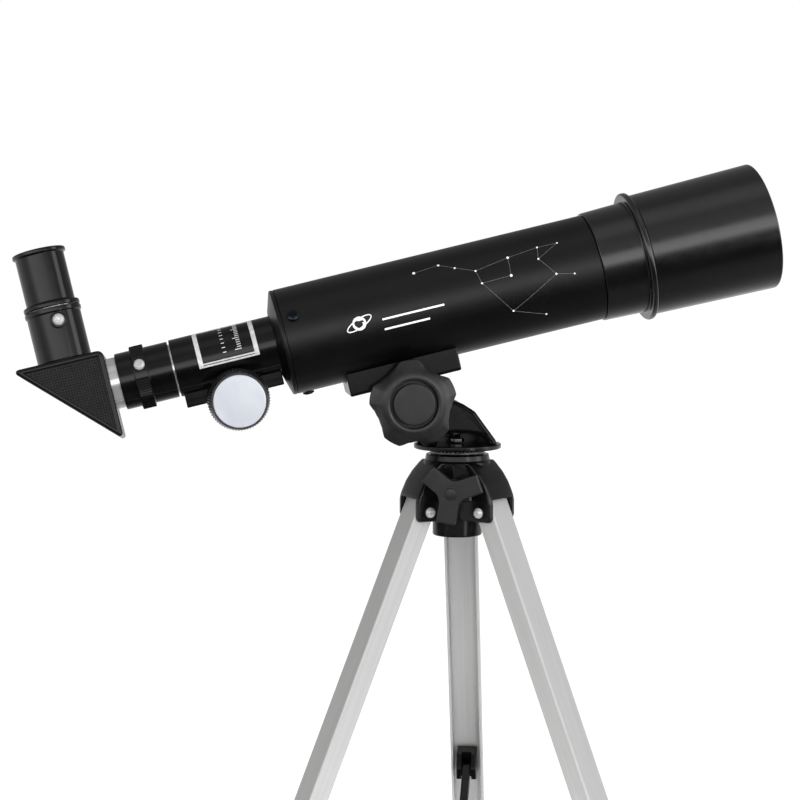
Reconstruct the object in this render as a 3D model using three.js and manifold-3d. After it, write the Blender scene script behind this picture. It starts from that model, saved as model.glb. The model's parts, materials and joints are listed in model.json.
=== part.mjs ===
// Small refracting telescope on a pan and tilt head and a folding tabletop tripod.
// Units are millimetres, +Z is up, and the telescope points towards +X.
import * as THREE from 'three';
import { mergeVertices } from 'three/addons/utils/BufferGeometryUtils.js';
import Module from 'manifold-3d';

const wasm = await Module();
wasm.setup();

// ---- Driving dimensions ----
const GAP = 0.3;

// Sides of a round: tube walls, smaller turned parts, shafts, and screws or their holes.
const FINE = 36;
const ROUND = 24;
const SMALL = 14;
const TINY = 8;

// Optical axis: a point on it above the pan disc, its elevation, and the roll of the diagonal.
const AXIS_X = -1.7;
const AXIS_Z = 70.44;
const ELEVATION = 13.36;
const DIAGONAL_ROLL = 8;

// Optical tube. Stations run along the optical axis, forward positive.
const TUBE_REAR = -84;
const TUBE_FRONT = 69;
const TUBE_R_REAR = 25.5;
const TUBE_R_FRONT = 25.75;
const TUBE_WALL = 1.2;
const CELL_FRONT = 90.1;
const FLANGE_R = 31.5;
const FLANGE_FRONT = 93.1;
const COLLAR_FRONT = 103.1;
const COLLAR_R = 27.6;
const LENS_R = 25;
const SHIELD_FRONT = 155.6;
const SHIELD_R_REAR = 29.5;
const SHIELD_R_FRONT = 31;
const CAP_SCREW_STATION = -78.7;
const CAP_SCREW_ANGLES = [28.9, 148.9, 268.9];

// Focuser.
const HOUSING_REAR = -138;
const HOUSING_R = 13.95;
const HOUSING_BORE = 12.4;
const RAIL_REAR = -136.6;
const RAIL_DEPTH = 19.2;
const RAIL_HALF_WIDTH = 6;
const SLOT_HALF_WIDTH = 3.7;
const SLOT_DEPTH = 17;
const SHAFT_STATION = -112.3;
const SHAFT_DROP = 20.1;
const SHAFT_R = 1.8;
const KNOB_FACE = 27;
const KNOB_BACK = 14.6;
const KNOB_R_FRONT = 13.5;
const KNOB_R_BACK = 15;
const KNOB_RIDGES = 30;
const INLAY_R = 12.2;
const GEAR_MODULE = 0.8;
const PINION_TEETH = 12;
const RACK_TEETH = 28;

// Drawtube.
const DRAWTUBE_R = 12;
const DRAWTUBE_BORE = 11.2;
const DRAWTUBE_REAR = -146.7;
const DRAWTUBE_FRONT = -46;
const HEAD_REAR = -164.3;
const HEAD_FRONT = -138.8;
const HEAD_R = 13.55;
const GRIP_REAR = -156.9;
const GRIP_FRONT = -150.2;
const GRIP_R = 15.2;
const GRIP_RIDGES = 24;
const LOCK_STATION = -153.5;
const LOCK_ANGLE = 25;

// Star diagonal and eyepiece. Heights are above the optical axis, before the roll.
const BARREL_R = 12.25;
const PRISM_FACE = -168.5;
const PRISM_TOP = 15.8;
const PRISM_LEG = 43.4;
const PRISM_HALF_WIDTH = 15;
const PRISM_WALL = 1.8;
const EYE_STATION = -187.3;
const SOCKET_R = 12.85;
const SOCKET_BORE = 12.3;
const SOCKET_SCREW_TURN = 9.5;
const SOCKET_TOP = 41;
const SOCKET_SCREW_HEIGHT = 34.2;
const EYEPIECE_R = 11.6;
const EYEPIECE_LIP_R = 12.7;
const EYEPIECE_TOP = 69.4;

// Saddle, tilt pivot and pan bracket.
const PIVOT_X = -24.7;
const PIVOT_Z = 22.65;
const PIVOT_STATION = -33.5;
const PIVOT_DROP = 41.2;
const SADDLE_REAR = -60.5;
const SADDLE_FRONT = -6;
const SADDLE_HALF_WIDTH = 15.4;
const SADDLE_DROP = 32;
const SADDLE_CHAMFER = 1.5;
const EAR_HALF_WIDTH = 9.5;
const CHEEK_IN = 10;
const CHEEK_OUT = 13.6;
const STAR_FACE = 29;
const STAR_BACK = 19.5;
const STAR_PHASE = 24;
const STAR_LOBE = [[-11.5, 21], [11.5, 21], [22.5, 18.6], [36, 17.7], [49.5, 18.6]];
const DISC_R = 21.2;
const DISC_TOP = 1.45;
const DISC_BOTTOM = -0.9;
const SPIGOT_R = 8;

// Tripod hub and legs.
const LEG_AZIMUTHS = [77.5, 197.5, -42.5];
const LEG_TILT = 22.5;
const HINGE_R = 20;
const HINGE_Z = -30;
const LEG_LENGTH = 300;
const LEG_WIDTH = 16.5;
const LEG_OUT = 5.5;
const LEG_IN = -3.9;
const LEG_WALL = 1.2;
const LEG_TOP = 4.5;
const FLOOR_BELOW_HINGE = 283.5;
const CHEEK_HALF = 11.3;
const HOOD_SLOT_HALF = 8.6;
const COLLAR_TOP = -3.6;
const COLLAR_BOTTOM = -6.1;
const LOCK_AZIMUTH = 255.5;
const LOCK_Z = -19.7;

// Leg brace.
const BRACE_DOWN = 160;
const LUG_HALF_WIDTH = 5.2;
const BRACE_IN = -7;
const BRACE_SLOPE = 30;
const BRACE_HUB_R = 14;
const BRACE_PIVOT_R = 10;

// The shift that puts the origin under the middle of the whole object, on the floor.
const SHIFT = [27.67, -19.472, 313.5];

// ---- Materials ----
function paint(color, roughness, metalness) {
  return new THREE.MeshStandardMaterial({ color, roughness, metalness });
}

const satinBlack = paint(0x101012, 0.42, 0.1);
const glossBlack = paint(0x0c0c0d, 0.2, 0);
const mattBlack = paint(0x1a1a1b, 0.6, 0);
const chrome = paint(0xd8d9dc, 0.12, 1);
const aluminium = paint(0xc9cbcc, 0.38, 0.9);
const rubber = paint(0x151515, 0.85, 0);
const silver = paint(0xc3c8d0, 0.3, 0.6);
const glass = paint(0xbfd4cf, 0.05, 0);
glass.transparent = true;
glass.opacity = 0.4;

// ---- Helpers ----
const rad = THREE.MathUtils.degToRad;

// Merges shared vertices, drops empty triangles and turns the faces outwards.
function closed(geometry) {
  const bare = new THREE.BufferGeometry();
  bare.setAttribute('position', geometry.getAttribute('position').clone());
  if (geometry.index) bare.setIndex(geometry.index.clone());
  const merged = mergeVertices(bare, 1e-4);
  const p = merged.getAttribute('position');
  const source = merged.index.array;
  const kept = [];
  let volume = 0;
  const [a, b, c] = [new THREE.Vector3(), new THREE.Vector3(), new THREE.Vector3()];
  for (let i = 0; i < source.length; i += 3) {
    const [u, v, w] = [source[i], source[i + 1], source[i + 2]];
    if (u === v || v === w || w === u) continue;
    kept.push(u, v, w);
    a.fromBufferAttribute(p, u);
    b.fromBufferAttribute(p, v);
    c.fromBufferAttribute(p, w);
    volume += a.dot(b.cross(c));
  }
  if (volume < 0) kept.reverse();
  merged.setIndex(kept);
  return merged;
}

function toSolid(geometry) {
  const g = closed(geometry);
  const vertProperties = new Float32Array(g.getAttribute('position').array);
  const triVerts = new Uint32Array(g.index.array);
  return new wasm.Manifold(new wasm.Mesh({ numProp: 3, vertProperties, triVerts }));
}

function toGeometry(solid) {
  const mesh = solid.getMesh();
  const geometry = new THREE.BufferGeometry();
  geometry.setAttribute('position', new THREE.BufferAttribute(new Float32Array(mesh.vertProperties), 3));
  geometry.setIndex(new THREE.BufferAttribute(new Uint32Array(mesh.triVerts), 1));
  return geometry;
}

function join(...geometries) {
  return toGeometry(geometries.map(toSolid).reduce((whole, next) => whole.add(next)));
}

function cut(geometry, ...tools) {
  return toGeometry(tools.map(toSolid).reduce((rest, tool) => rest.subtract(tool), toSolid(geometry)));
}

// A ring or solid of revolution about Z from a closed outline of [radius, height] corners.
function revolve(outline, segments = ROUND) {
  const points = outline.map(([r, h]) => new THREE.Vector2(r, h));
  points.push(points[0].clone());
  return closed(new THREE.LatheGeometry(points, segments).rotateX(Math.PI / 2));
}

// The same about X, from [station, radius] corners.
function revolveX(outline, segments = ROUND) {
  return revolve(outline.map(([s, r]) => [r, s]), segments).rotateY(Math.PI / 2);
}

function rod(radius, from, to, segments = SMALL) {
  return revolve([[0, from], [radius, from], [radius, to], [0, to]], segments);
}

function rodX(radius, from, to, segments = SMALL) {
  return rod(radius, from, to, segments).rotateY(Math.PI / 2);
}

function rodY(radius, from, to, segments = SMALL) {
  return rod(radius, -to, -from, segments).rotateX(Math.PI / 2);
}

function box(x0, x1, y0, y1, z0, z1) {
  const geometry = new THREE.BoxGeometry(x1 - x0, y1 - y0, z1 - z0);
  return closed(geometry.translate((x0 + x1) / 2, (y0 + y1) / 2, (z0 + z1) / 2));
}

// A straight prism from corners in the XY plane, between two heights.
function prismZ(corners, z0, z1, holes = []) {
  const shape = new THREE.Shape(corners.map(([x, y]) => new THREE.Vector2(x, y)));
  for (const hole of holes) {
    shape.holes.push(new THREE.Path(hole.map(([x, y]) => new THREE.Vector2(x, y))));
  }
  const geometry = new THREE.ExtrudeGeometry(shape, { depth: z1 - z0, bevelEnabled: false });
  return closed(geometry.translate(0, 0, z0));
}

// The same from corners in the XZ plane, between two Y positions.
function prismY(corners, y0, y1) {
  return prismZ(corners, -y1, -y0).rotateX(Math.PI / 2);
}

function circle(radius, segments = ROUND) {
  const points = [];
  for (let i = 0; i < segments; i += 1) {
    const a = (i / segments) * 2 * Math.PI;
    points.push([radius * Math.cos(a), radius * Math.sin(a)]);
  }
  return points;
}

function ridged(outer, inner, count) {
  const points = [];
  for (let i = 0; i < count * 2; i += 1) {
    const r = i % 2 ? inner : outer;
    const a = (i / count) * Math.PI;
    points.push([r * Math.cos(a), r * Math.sin(a)]);
  }
  return points;
}

// Rounds each corner of a convex outline with a few short edges.
function rounded(corners, radius, steps = 3) {
  const points = [];
  corners.forEach((corner, i) => {
    const here = new THREE.Vector2(...corner);
    const before = new THREE.Vector2(...corners[(i + corners.length - 1) % corners.length]);
    const after = new THREE.Vector2(...corners[(i + 1) % corners.length]);
    const start = here.clone().add(before.sub(here).setLength(radius));
    const end = here.clone().add(after.sub(here).setLength(radius));
    const curve = new THREE.QuadraticBezierCurve(start, here, end);
    for (const p of curve.getPoints(steps)) points.push([p.x, p.y]);
  });
  return points;
}

// Turns a piece built along +Z so that it points outwards at an angle above the near side.
function radial(geometry, angle, station) {
  return geometry.rotateX(rad(90 - angle)).translate(station, 0, 0);
}

function screw(shankR, from, to, headR, headHeight) {
  const body = revolve([
    [0, from], [shankR, from], [shankR, to], [headR, to],
    [headR, to + headHeight * 0.6], [headR * 0.7, to + headHeight], [0, to + headHeight],
  ], TINY);
  const top = to + headHeight;
  const arm = headR * 0.55;
  const slot = box(-arm, arm, -0.35, 0.35, top - 0.6, top + 1);
  const cross = box(-0.35, 0.35, -arm, arm, top - 0.6, top + 1);
  return cut(body, slot, cross);
}

// A knurled thumb screw along +Z.
function thumbScrew(shankR, from, to, headR, headHeight) {
  const grip = prismZ(ridged(headR, headR - 0.3, TINY), to, to + headHeight);
  return join(grip, rod(shankR, from, to + 0.5, TINY));
}

function mesh(parent, name, geometry, material) {
  const piece = new THREE.Mesh(closed(geometry), material);
  piece.name = name;
  parent.add(piece);
  return piece;
}

// ---- Optical tube ----
function mainTube() {
  const tube = revolveX([
    [TUBE_REAR, TUBE_R_REAR - TUBE_WALL], [TUBE_REAR, TUBE_R_REAR],
    [TUBE_FRONT, TUBE_R_FRONT], [TUBE_FRONT, TUBE_R_FRONT - TUBE_WALL],
  ], FINE);
  return cut(tube, ...CAP_SCREW_ANGLES.map((a) => radial(rod(1.6, 18, 30, TINY), a, CAP_SCREW_STATION)));
}

function objectiveCell() {
  const spigot = TUBE_R_FRONT - TUBE_WALL - 0.35;
  return revolveX([
    [61, spigot - 1.4], [61, spigot], [TUBE_FRONT + GAP, spigot], [TUBE_FRONT + GAP, 26.6],
    [CELL_FRONT, 27.3], [CELL_FRONT, FLANGE_R], [FLANGE_FRONT, FLANGE_R], [FLANGE_FRONT, COLLAR_R],
    [COLLAR_FRONT, COLLAR_R], [COLLAR_FRONT, LENS_R + GAP], [84, LENS_R + GAP], [84, spigot - 1.4],
  ], FINE);
}

function flintLens() {
  return revolveX([[84.3, 0], [84.3, LENS_R], [88.2, LENS_R], [87.3, 16], [86.5, 8], [86.2, 0]], ROUND);
}

function crownLens() {
  return revolveX([
    [86.6, 0], [86.9, 8], [87.7, 16], [88.6, LENS_R], [90.1, LENS_R], [91.1, 16], [91.9, 8], [92.2, 0],
  ], ROUND);
}

function retainingRing() {
  return revolveX([[90.5, LENS_R], [90.5, 23.6], [93.4, 23.6], [93.4, LENS_R]], ROUND);
}

function dewShield() {
  const rear = FLANGE_FRONT + GAP;
  return revolveX([
    [rear, COLLAR_R + GAP], [rear, SHIELD_R_REAR], [SHIELD_FRONT - 1, SHIELD_R_FRONT],
    [SHIELD_FRONT, SHIELD_R_FRONT - 0.6], [SHIELD_FRONT, 29.2],
    [COLLAR_FRONT + 1, 28.2], [COLLAR_FRONT + 1, COLLAR_R + GAP],
  ], FINE);
}

function tubeBaffle() {
  return revolveX([[20, 18], [20, 24.1], [21.4, 24.1], [21.4, 18]], ROUND);
}

function rearCap() {
  const spigot = TUBE_R_REAR - TUBE_WALL - GAP;
  const cap = revolveX([
    [-74, spigot - 1.5], [-74, spigot], [TUBE_REAR - GAP, spigot], [TUBE_REAR - GAP, TUBE_R_REAR],
    [-85.7, TUBE_R_REAR], [-88.9, 16], [-88.9, HOUSING_R + GAP], [-80, HOUSING_R + GAP], [-80, spigot - 1.5],
  ], FINE);
  const holes = CAP_SCREW_ANGLES.map((a) => radial(rod(1.6, 18, 30, TINY), a, CAP_SCREW_STATION));
  return cut(cap, box(-95, -70, -4.1, 4.1, -SLOT_DEPTH - 0.6, -10), ...holes);
}

// ---- Focuser ----
function focuserHousing() {
  const tube = revolveX([
    [HOUSING_REAR, HOUSING_BORE], [HOUSING_REAR, HOUSING_R], [-79.7, HOUSING_R],
    [-79.7, 17], [-76.5, 17], [-76.5, HOUSING_BORE],
  ], ROUND);
  const rail = box(RAIL_REAR, -89.3, -RAIL_HALF_WIDTH, RAIL_HALF_WIDTH, -RAIL_DEPTH, -10);
  const bore = rodX(HOUSING_BORE, -140, -70, ROUND);
  const slot = box(-140, -70, -SLOT_HALF_WIDTH, SLOT_HALF_WIDTH, -SLOT_DEPTH, -8);
  const window = box(SHAFT_STATION - 6.2, SHAFT_STATION + 6.2, -SLOT_HALF_WIDTH, SLOT_HALF_WIDTH, -25, -15);
  const shaftHole = rodY(SHAFT_R + GAP, -10, 10, TINY).translate(SHAFT_STATION, 0, -SHAFT_DROP);
  return cut(join(tube, rail), bore, slot, window, shaftHole);
}

function pinionCover() {
  const s = SHAFT_STATION;
  const top = -RAIL_DEPTH - GAP;
  const block = prismY([
    [s - 14.5, top], [s - 14.5, top - 3], [s - 9, top - 3], [s - 7.4, -27.6],
    [s + 7.4, -27.6], [s + 9, top - 3], [s + 14.5, top - 3], [s + 14.5, top],
  ], -8, 8);
  const pocket = rodY(6.2, -3.6, 3.6, SMALL).translate(s, 0, -SHAFT_DROP);
  const mouth = box(s - 6.2, s + 6.2, -3.6, 3.6, -SHAFT_DROP, -18);
  const bore = rodY(SHAFT_R + GAP, -10, 10, TINY).translate(s, 0, -SHAFT_DROP);
  return cut(block, pocket, mouth, bore);
}

function focusShaft() {
  return rodY(SHAFT_R, -24, 24, TINY).translate(SHAFT_STATION, 0, -SHAFT_DROP);
}

function focusPinion() {
  const pitch = (GEAR_MODULE * PINION_TEETH) / 2;
  const outline = [];
  for (let i = 0; i < PINION_TEETH; i += 1) {
    const centre = (i / PINION_TEETH) * 2 * Math.PI + Math.PI / 2;
    for (const [r, half] of [[pitch - 0.95, -0.75], [pitch, -0.5], [pitch + 0.75, -0.2],
      [pitch + 0.75, 0.2], [pitch, 0.5], [pitch - 0.95, 0.75]]) {
      const a = centre + half / r;
      outline.push([r * Math.cos(a), r * Math.sin(a)]);
    }
  }
  const gear = prismZ(outline, -3, 3, [circle(SHAFT_R + GAP, TINY).reverse()]).rotateX(Math.PI / 2);
  return gear.translate(SHAFT_STATION, 0, -SHAFT_DROP);
}

function focusRack() {
  const pitch = Math.PI * GEAR_MODULE;
  const line = -(SHAFT_DROP - (GEAR_MODULE * PINION_TEETH) / 2);
  const start = SHAFT_STATION - pitch * 2.5;
  const outline = [[start - 1.25, -12.3]];
  for (let i = 0; i < RACK_TEETH; i += 1) {
    const s = start + i * pitch;
    outline.push([s - 0.9, line + 1], [s - 0.25, line - 0.75], [s + 0.25, line - 0.75], [s + 0.9, line + 1]);
  }
  outline.push([start + (RACK_TEETH - 1) * pitch + 1.25, -12.3]);
  return prismY(outline, -3.2, 3.2);
}

// A knob turned about Y, with its face towards -Y when side is -1.
function focusKnob(side) {
  const ring = ridged(1, 0.965, KNOB_RIDGES);
  const body = prismZ(ring, 0, KNOB_FACE - KNOB_BACK);
  const p = body.getAttribute('position');
  for (let i = 0; i < p.count; i += 1) {
    const r = p.getZ(i) > 1 ? KNOB_R_FRONT : KNOB_R_BACK;
    p.setXY(i, p.getX(i) * r, p.getY(i) * r);
  }
  const neck = rod(4.6, 8.4 - KNOB_BACK, 0.5, SMALL);
  const face = KNOB_FACE - KNOB_BACK;
  const recess = rod(INLAY_R + GAP, face - 1.2, face + 1, ROUND);
  const bore = rod(SHAFT_R + GAP, -20, 24.3 - KNOB_BACK, TINY);
  const knob = cut(join(body, neck), recess, bore).translate(0, 0, KNOB_BACK);
  return knob.rotateX((-side * Math.PI) / 2).translate(SHAFT_STATION, 0, -SHAFT_DROP);
}

function focusInlay(side) {
  const face = KNOB_FACE - 0.9;
  const disc = revolve([
    [0, face], [INLAY_R, face], [INLAY_R, face + 0.7], [INLAY_R - 0.6, face + 1], [0, face + 1.2],
  ], ROUND);
  return disc.rotateX((-side * Math.PI) / 2).translate(SHAFT_STATION, 0, -SHAFT_DROP);
}

// ---- Drawtube ----
function drawtube() {
  return revolveX([
    [DRAWTUBE_REAR, DRAWTUBE_BORE], [DRAWTUBE_REAR, DRAWTUBE_R],
    [DRAWTUBE_FRONT, DRAWTUBE_R], [DRAWTUBE_FRONT, DRAWTUBE_BORE],
  ]);
}

function drawtubeHead() {
  const sleeve = revolveX([
    [HEAD_REAR, BARREL_R + GAP], [HEAD_REAR, HEAD_R - 0.4], [HEAD_REAR + 0.5, HEAD_R], [HEAD_FRONT, HEAD_R],
    [HEAD_FRONT, DRAWTUBE_R + GAP], [-147, DRAWTUBE_R + GAP], [-147, BARREL_R + GAP],
  ]);
  const ring = ridged(GRIP_R, GRIP_R - 0.45, GRIP_RIDGES);
  const grip = prismZ(ring, GRIP_REAR, GRIP_FRONT, [circle(13, ROUND).reverse()]).rotateY(Math.PI / 2);
  return cut(join(sleeve, grip), radial(rod(1.6, 10, 20, TINY), LOCK_ANGLE, LOCK_STATION));
}

function drawtubeLockScrew() {
  return radial(thumbScrew(1.3, 12.7, GRIP_R + GAP, 2.65, 2.4), LOCK_ANGLE, LOCK_STATION);
}

// ---- Star diagonal, in its own group rolled about the optical axis ----
function prismOutline(inset) {
  const right = PRISM_FACE - inset;
  const top = PRISM_TOP - inset;
  const slope = PRISM_FACE + PRISM_TOP - PRISM_LEG + inset * Math.SQRT2;
  return [[right, top], [slope - top, top], [right, slope - right]];
}

function diagonalShell(side) {
  const near = Math.min(side * 0.15, side * PRISM_HALF_WIDTH);
  const far = Math.max(side * 0.15, side * PRISM_HALF_WIDTH);
  const body = prismY(rounded(prismOutline(0), 3.2), near, far);
  const inner = PRISM_HALF_WIDTH - PRISM_WALL;
  const cavity = prismY(prismOutline(PRISM_WALL), -inner, inner);
  const panel = prismY(rounded(prismOutline(2.2), 2), ...(side < 0 ? [-16, -14.4] : [14.4, 16]));
  const front = rodX(BARREL_R + 0.35, -174, -160, ROUND);
  const top = rod(12.1, 10, 20, ROUND).translate(EYE_STATION, 0, 0);
  return cut(body, cavity, panel, front, top);
}

function diagonalMirror() {
  const along = new THREE.Vector2(-1, 1).normalize();
  const back = new THREE.Vector2(-1, -1).normalize();
  const middle = new THREE.Vector2(EYE_STATION + 2.05, -2.05);
  const at = (u, v) => middle.clone().addScaledVector(along, u).addScaledVector(back, v).toArray();
  return prismY([at(-19, 0), at(19, 0), at(19, 2.8), at(-19, 2.8)], -12.9, 12.9);
}

function diagonalBarrel() {
  return revolveX([
    [-171.5, 11.3], [-171.5, 12.95], [-170.6, 12.95], [-170.6, BARREL_R],
    [-148.4, BARREL_R], [-148, BARREL_R - 0.4], [-148, 11.3],
  ]);
}

function eyepieceSocket() {
  const under = PRISM_TOP - PRISM_WALL - GAP;
  const body = revolve([
    [12.9, under - 0.7], [12.9, under], [11.8, under], [11.8, PRISM_TOP + GAP],
    [SOCKET_R, PRISM_TOP + GAP], [SOCKET_R, 38.3], [SOCKET_R + 0.6, 38.8], [SOCKET_R + 0.6, SOCKET_TOP],
    [SOCKET_BORE, SOCKET_TOP], [SOCKET_BORE, 17.3], [10.6, 17.3], [10.6, under - 0.7],
  ]);
  const turn = rad(SOCKET_SCREW_TURN);
  const boss = rodY(3.9, -14.2, -12.5, SMALL).translate(0, 0, SOCKET_SCREW_HEIGHT).rotateZ(turn);
  const bore = rodY(1.6, -20, -5, TINY).translate(0, 0, SOCKET_SCREW_HEIGHT).rotateZ(turn);
  return cut(join(body, boss), bore).translate(EYE_STATION, 0, 0);
}

function eyepieceLockScrew() {
  const piece = thumbScrew(1.3, 12.2, 14.5, 2.8, 2.3).rotateX(Math.PI / 2);
  const turned = piece.translate(0, 0, SOCKET_SCREW_HEIGHT).rotateZ(rad(SOCKET_SCREW_TURN));
  return turned.translate(EYE_STATION, 0, 0);
}

function eyepieceBarrel() {
  return revolve([[11.1, 17.8], [11.95, 17.8], [11.95, 43.3], [11.1, 43.3]]).translate(EYE_STATION, 0, 0);
}

function eyepieceBody() {
  return revolve([
    [12.25, SOCKET_TOP + GAP], [13.4, SOCKET_TOP + GAP], [13.4, 43.6], [13, 44], [EYEPIECE_R, 44],
    [EYEPIECE_R, 66.9], [EYEPIECE_LIP_R - 0.3, 67.3], [EYEPIECE_LIP_R, 67.7],
    [EYEPIECE_LIP_R, EYEPIECE_TOP - 0.5], [EYEPIECE_LIP_R - 0.5, EYEPIECE_TOP], [11.2, EYEPIECE_TOP],
    [6.6, 65.6], [6.6, 64.9], [7.5, 64.9], [7.5, 59.8], [10, 59.8], [10, 43.6], [12.25, 43.6],
  ]).translate(EYE_STATION, 0, 0);
}

function eyeLens() {
  const lens = revolve([[0, 60.4], [4, 60.7], [7.2, 61.4], [7.2, 63], [4, 63.9], [0, 64.3]], SMALL);
  return lens.translate(EYE_STATION, 0, 0);
}

function fieldLens() {
  const lens = revolve([[0, 34], [10.8, 34], [10.8, 35.8], [6, 37.2], [0, 37.8]], SMALL);
  return lens.translate(EYE_STATION, 0, 0);
}

// ---- Saddle, pivot and pan bracket ----
function saddleBlock() {
  const w = SADDLE_HALF_WIDTH;
  const c = SADDLE_CHAMFER;
  const section = [
    [w, -15], [w, -SADDLE_DROP + c], [w - c, -SADDLE_DROP],
    [-w + c, -SADDLE_DROP], [-w, -SADDLE_DROP + c], [-w, -15],
  ];
  const block = prismZ(section, 0, SADDLE_FRONT - SADDLE_REAR);
  block.applyMatrix4(new THREE.Matrix4().makeBasis(
    new THREE.Vector3(0, 1, 0), new THREE.Vector3(0, 0, 1), new THREE.Vector3(1, 0, 0),
  ));
  block.translate(SADDLE_REAR, 0, 0);
  const s = PIVOT_STATION;
  const drop = -PIVOT_DROP;
  const ear = [[s - 13, -30], [s - 8.4, drop]];
  for (let a = 200; a <= 340; a += 20) ear.push([s + 8.4 * Math.cos(rad(a)), drop + 8.4 * Math.sin(rad(a))]);
  ear.push([s + 8.4, drop], [s + 13, -30]);
  const lug = prismY(ear, -EAR_HALF_WIDTH, EAR_HALF_WIDTH);
  const hollow = rodX(TUBE_R_FRONT + GAP, SADDLE_REAR - 1, SADDLE_FRONT + 1, FINE);
  const bore = rodY(2.8, -20, 20, TINY).translate(s, 0, drop);
  return cut(join(block, lug), hollow, bore);
}

function panBracket() {
  const arm = [
    [17.8, 1], [16.6, 4.1], [6.6, 17.8], [1, 21.4], [-3.3, 23.1], [-12, 26.2], [PIVOT_X + 3, PIVOT_Z + 8.1],
  ];
  for (let a = 90; a <= 200; a += 22) {
    arm.push([PIVOT_X + 8.4 * Math.cos(rad(a)), PIVOT_Z + 8.4 * Math.sin(rad(a))]);
  }
  arm.push([-17.5, 1]);
  const solid = prismY(arm, -CHEEK_OUT, CHEEK_OUT);
  const inside = prismY([
    [-50, DISC_TOP], [-50, 60], [-9.5, 60], [-9.5, 21.6],
    [-3.8, 19.8], [4.4, 15.4], [13.4, 3.5], [13.6, DISC_TOP],
  ], -CHEEK_IN, CHEEK_IN);
  const arch = prismY([
    [12.8, DISC_TOP], [12, 4.2], [9.3, 6.2], [3.5, 7.2], [-2.3, 7.5], [-8, 7], [-11, 5], [-12, DISC_TOP],
  ], -20, 0);
  const disc = revolve([
    [0, -23.6], [SPIGOT_R, -23.6], [SPIGOT_R, DISC_BOTTOM], [DISC_R - 1.2, DISC_BOTTOM],
    [DISC_R, DISC_BOTTOM + 0.7], [DISC_R, DISC_TOP - 0.4], [DISC_R - 0.4, DISC_TOP], [0, DISC_TOP],
  ], ROUND);
  const bolt = rod(1.9, -30, 30, TINY);
  const pivot = rodY(2.8, -20, 20, TINY).translate(PIVOT_X, 0, PIVOT_Z);
  return cut(join(cut(solid, inside, arch), disc), bolt, pivot);
}

function panWasher() {
  return revolve([[SPIGOT_R + GAP, -3.3], [13.3, -3.3], [13.3, -1.2], [SPIGOT_R + GAP, -1.2]], ROUND);
}

function azimuthBolt() {
  const nut = prismZ(circle(3.2, 6), -29.6, -27.3);
  return join(rod(1.5, -31, 7, TINY), rod(2.3, 5.9, 7.6, TINY), prismZ(circle(2.9, 6), 1.8, 3.6), nut);
}

function altitudeBolt() {
  const shank = rodY(2.5, -24, 15.6, TINY);
  const head = prismY(circle(5, 6), CHEEK_OUT + GAP, 17.2);
  return join(shank, head).translate(PIVOT_X, 0, PIVOT_Z);
}

function altitudeKnob() {
  const outline = [];
  for (let i = 0; i < 5; i += 1) {
    for (const [turn, r] of STAR_LOBE) {
      const a = rad(STAR_PHASE + i * 72 + turn);
      outline.push([r * Math.cos(a), r * Math.sin(a)]);
    }
  }
  const scaled = (k) => outline.map(([x, y]) => [x * k, y * k]);
  const body = prismY(outline, -STAR_FACE + 1, -STAR_BACK - 1);
  const face = prismY(scaled(0.95), -STAR_FACE, -STAR_BACK);
  const neck = rodY(9, -STAR_BACK - 1, -CHEEK_OUT - GAP, ROUND);
  const dish = rodY(11.2, -STAR_FACE - 1, -STAR_FACE + 1.6, ROUND);
  const bore = rodY(2.8, -24.3, 0, TINY);
  return cut(join(body, face, neck), dish, bore).translate(PIVOT_X, 0, PIVOT_Z);
}

function altitudeKnobCap() {
  const cap = revolve([[0, 0], [9.9, 0], [9.9, 1.5], [9.3, 1.9], [0, 2.2]], ROUND).rotateX(Math.PI / 2);
  return cap.translate(PIVOT_X, -STAR_FACE + 1.3, PIVOT_Z);
}

// ---- Tripod ----
// A peaked nose above the lock knob, built along +X.
function hubNose() {
  const block = prismZ([[8, -7.5], [18, -7.5], [19.4, 0], [18, 7.5], [8, 7.5]], -24, COLLAR_BOTTOM - 0.9);
  const roof = (side) => box(0, 30, -30, 30, 0, 20).rotateX(side * rad(27));
  const slopes = [1, -1].map((side) => roof(side).translate(0, 0, COLLAR_BOTTOM - 0.9));
  return cut(block, ...slopes).rotateZ(rad(LOCK_AZIMUTH));
}

function tripodHub() {
  const dome = revolve([
    [0, COLLAR_TOP], [15.2, COLLAR_TOP], [15.7, COLLAR_BOTTOM], [16.4, COLLAR_BOTTOM - 1],
    [18.6, -13], [19.4, -18], [19.4, -25], [12, -25], [12, -43.2], [0, -43.2],
  ], ROUND);
  const hoodOutline = [
    [5, COLLAR_BOTTOM], [14.3, COLLAR_BOTTOM], [15.8, -7.4], [17.7, -9.3], [19.7, -11.4], [21.5, -13.6],
    [23.2, -16.4], [24.8, -19.6], [26, -22.6], [26.6, -25.5],
    [26.6, -32.4], [25.6, -34.3], [23.6, -35.2], [9, -35.2], [5, -25],
  ];
  const pieces = [dome, hubNose()];
  const slots = [];
  for (const azimuth of LEG_AZIMUTHS) {
    const turn = rad(azimuth);
    pieces.push(prismY(hoodOutline, -CHEEK_HALF, CHEEK_HALF).rotateZ(turn));
    const slot = prismY([
      [12, -60], [40, -60], [40, -23.7], [24.2, -23.7], [24.2, -22.2], [12, -22.2],
    ], -HOOD_SLOT_HALF, HOOD_SLOT_HALF).rotateZ(turn);
    const bore = rodY(2, -14, 14, TINY).translate(HINGE_R, 0, HINGE_Z).rotateZ(turn);
    slots.push(slot, bore);
  }
  const spigotBore = join(rod(SPIGOT_R + GAP, -24, 0, ROUND), rod(1.9, -30, -20, TINY));
  const socket = rod(8.6, -45, -27, ROUND);
  const lockBore = rodX(2.3, 5, 30, TINY).translate(0, 0, LOCK_Z).rotateZ(rad(LOCK_AZIMUTH));
  return cut(join(...pieces), ...slots, spigotBore, socket, lockBore);
}

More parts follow.
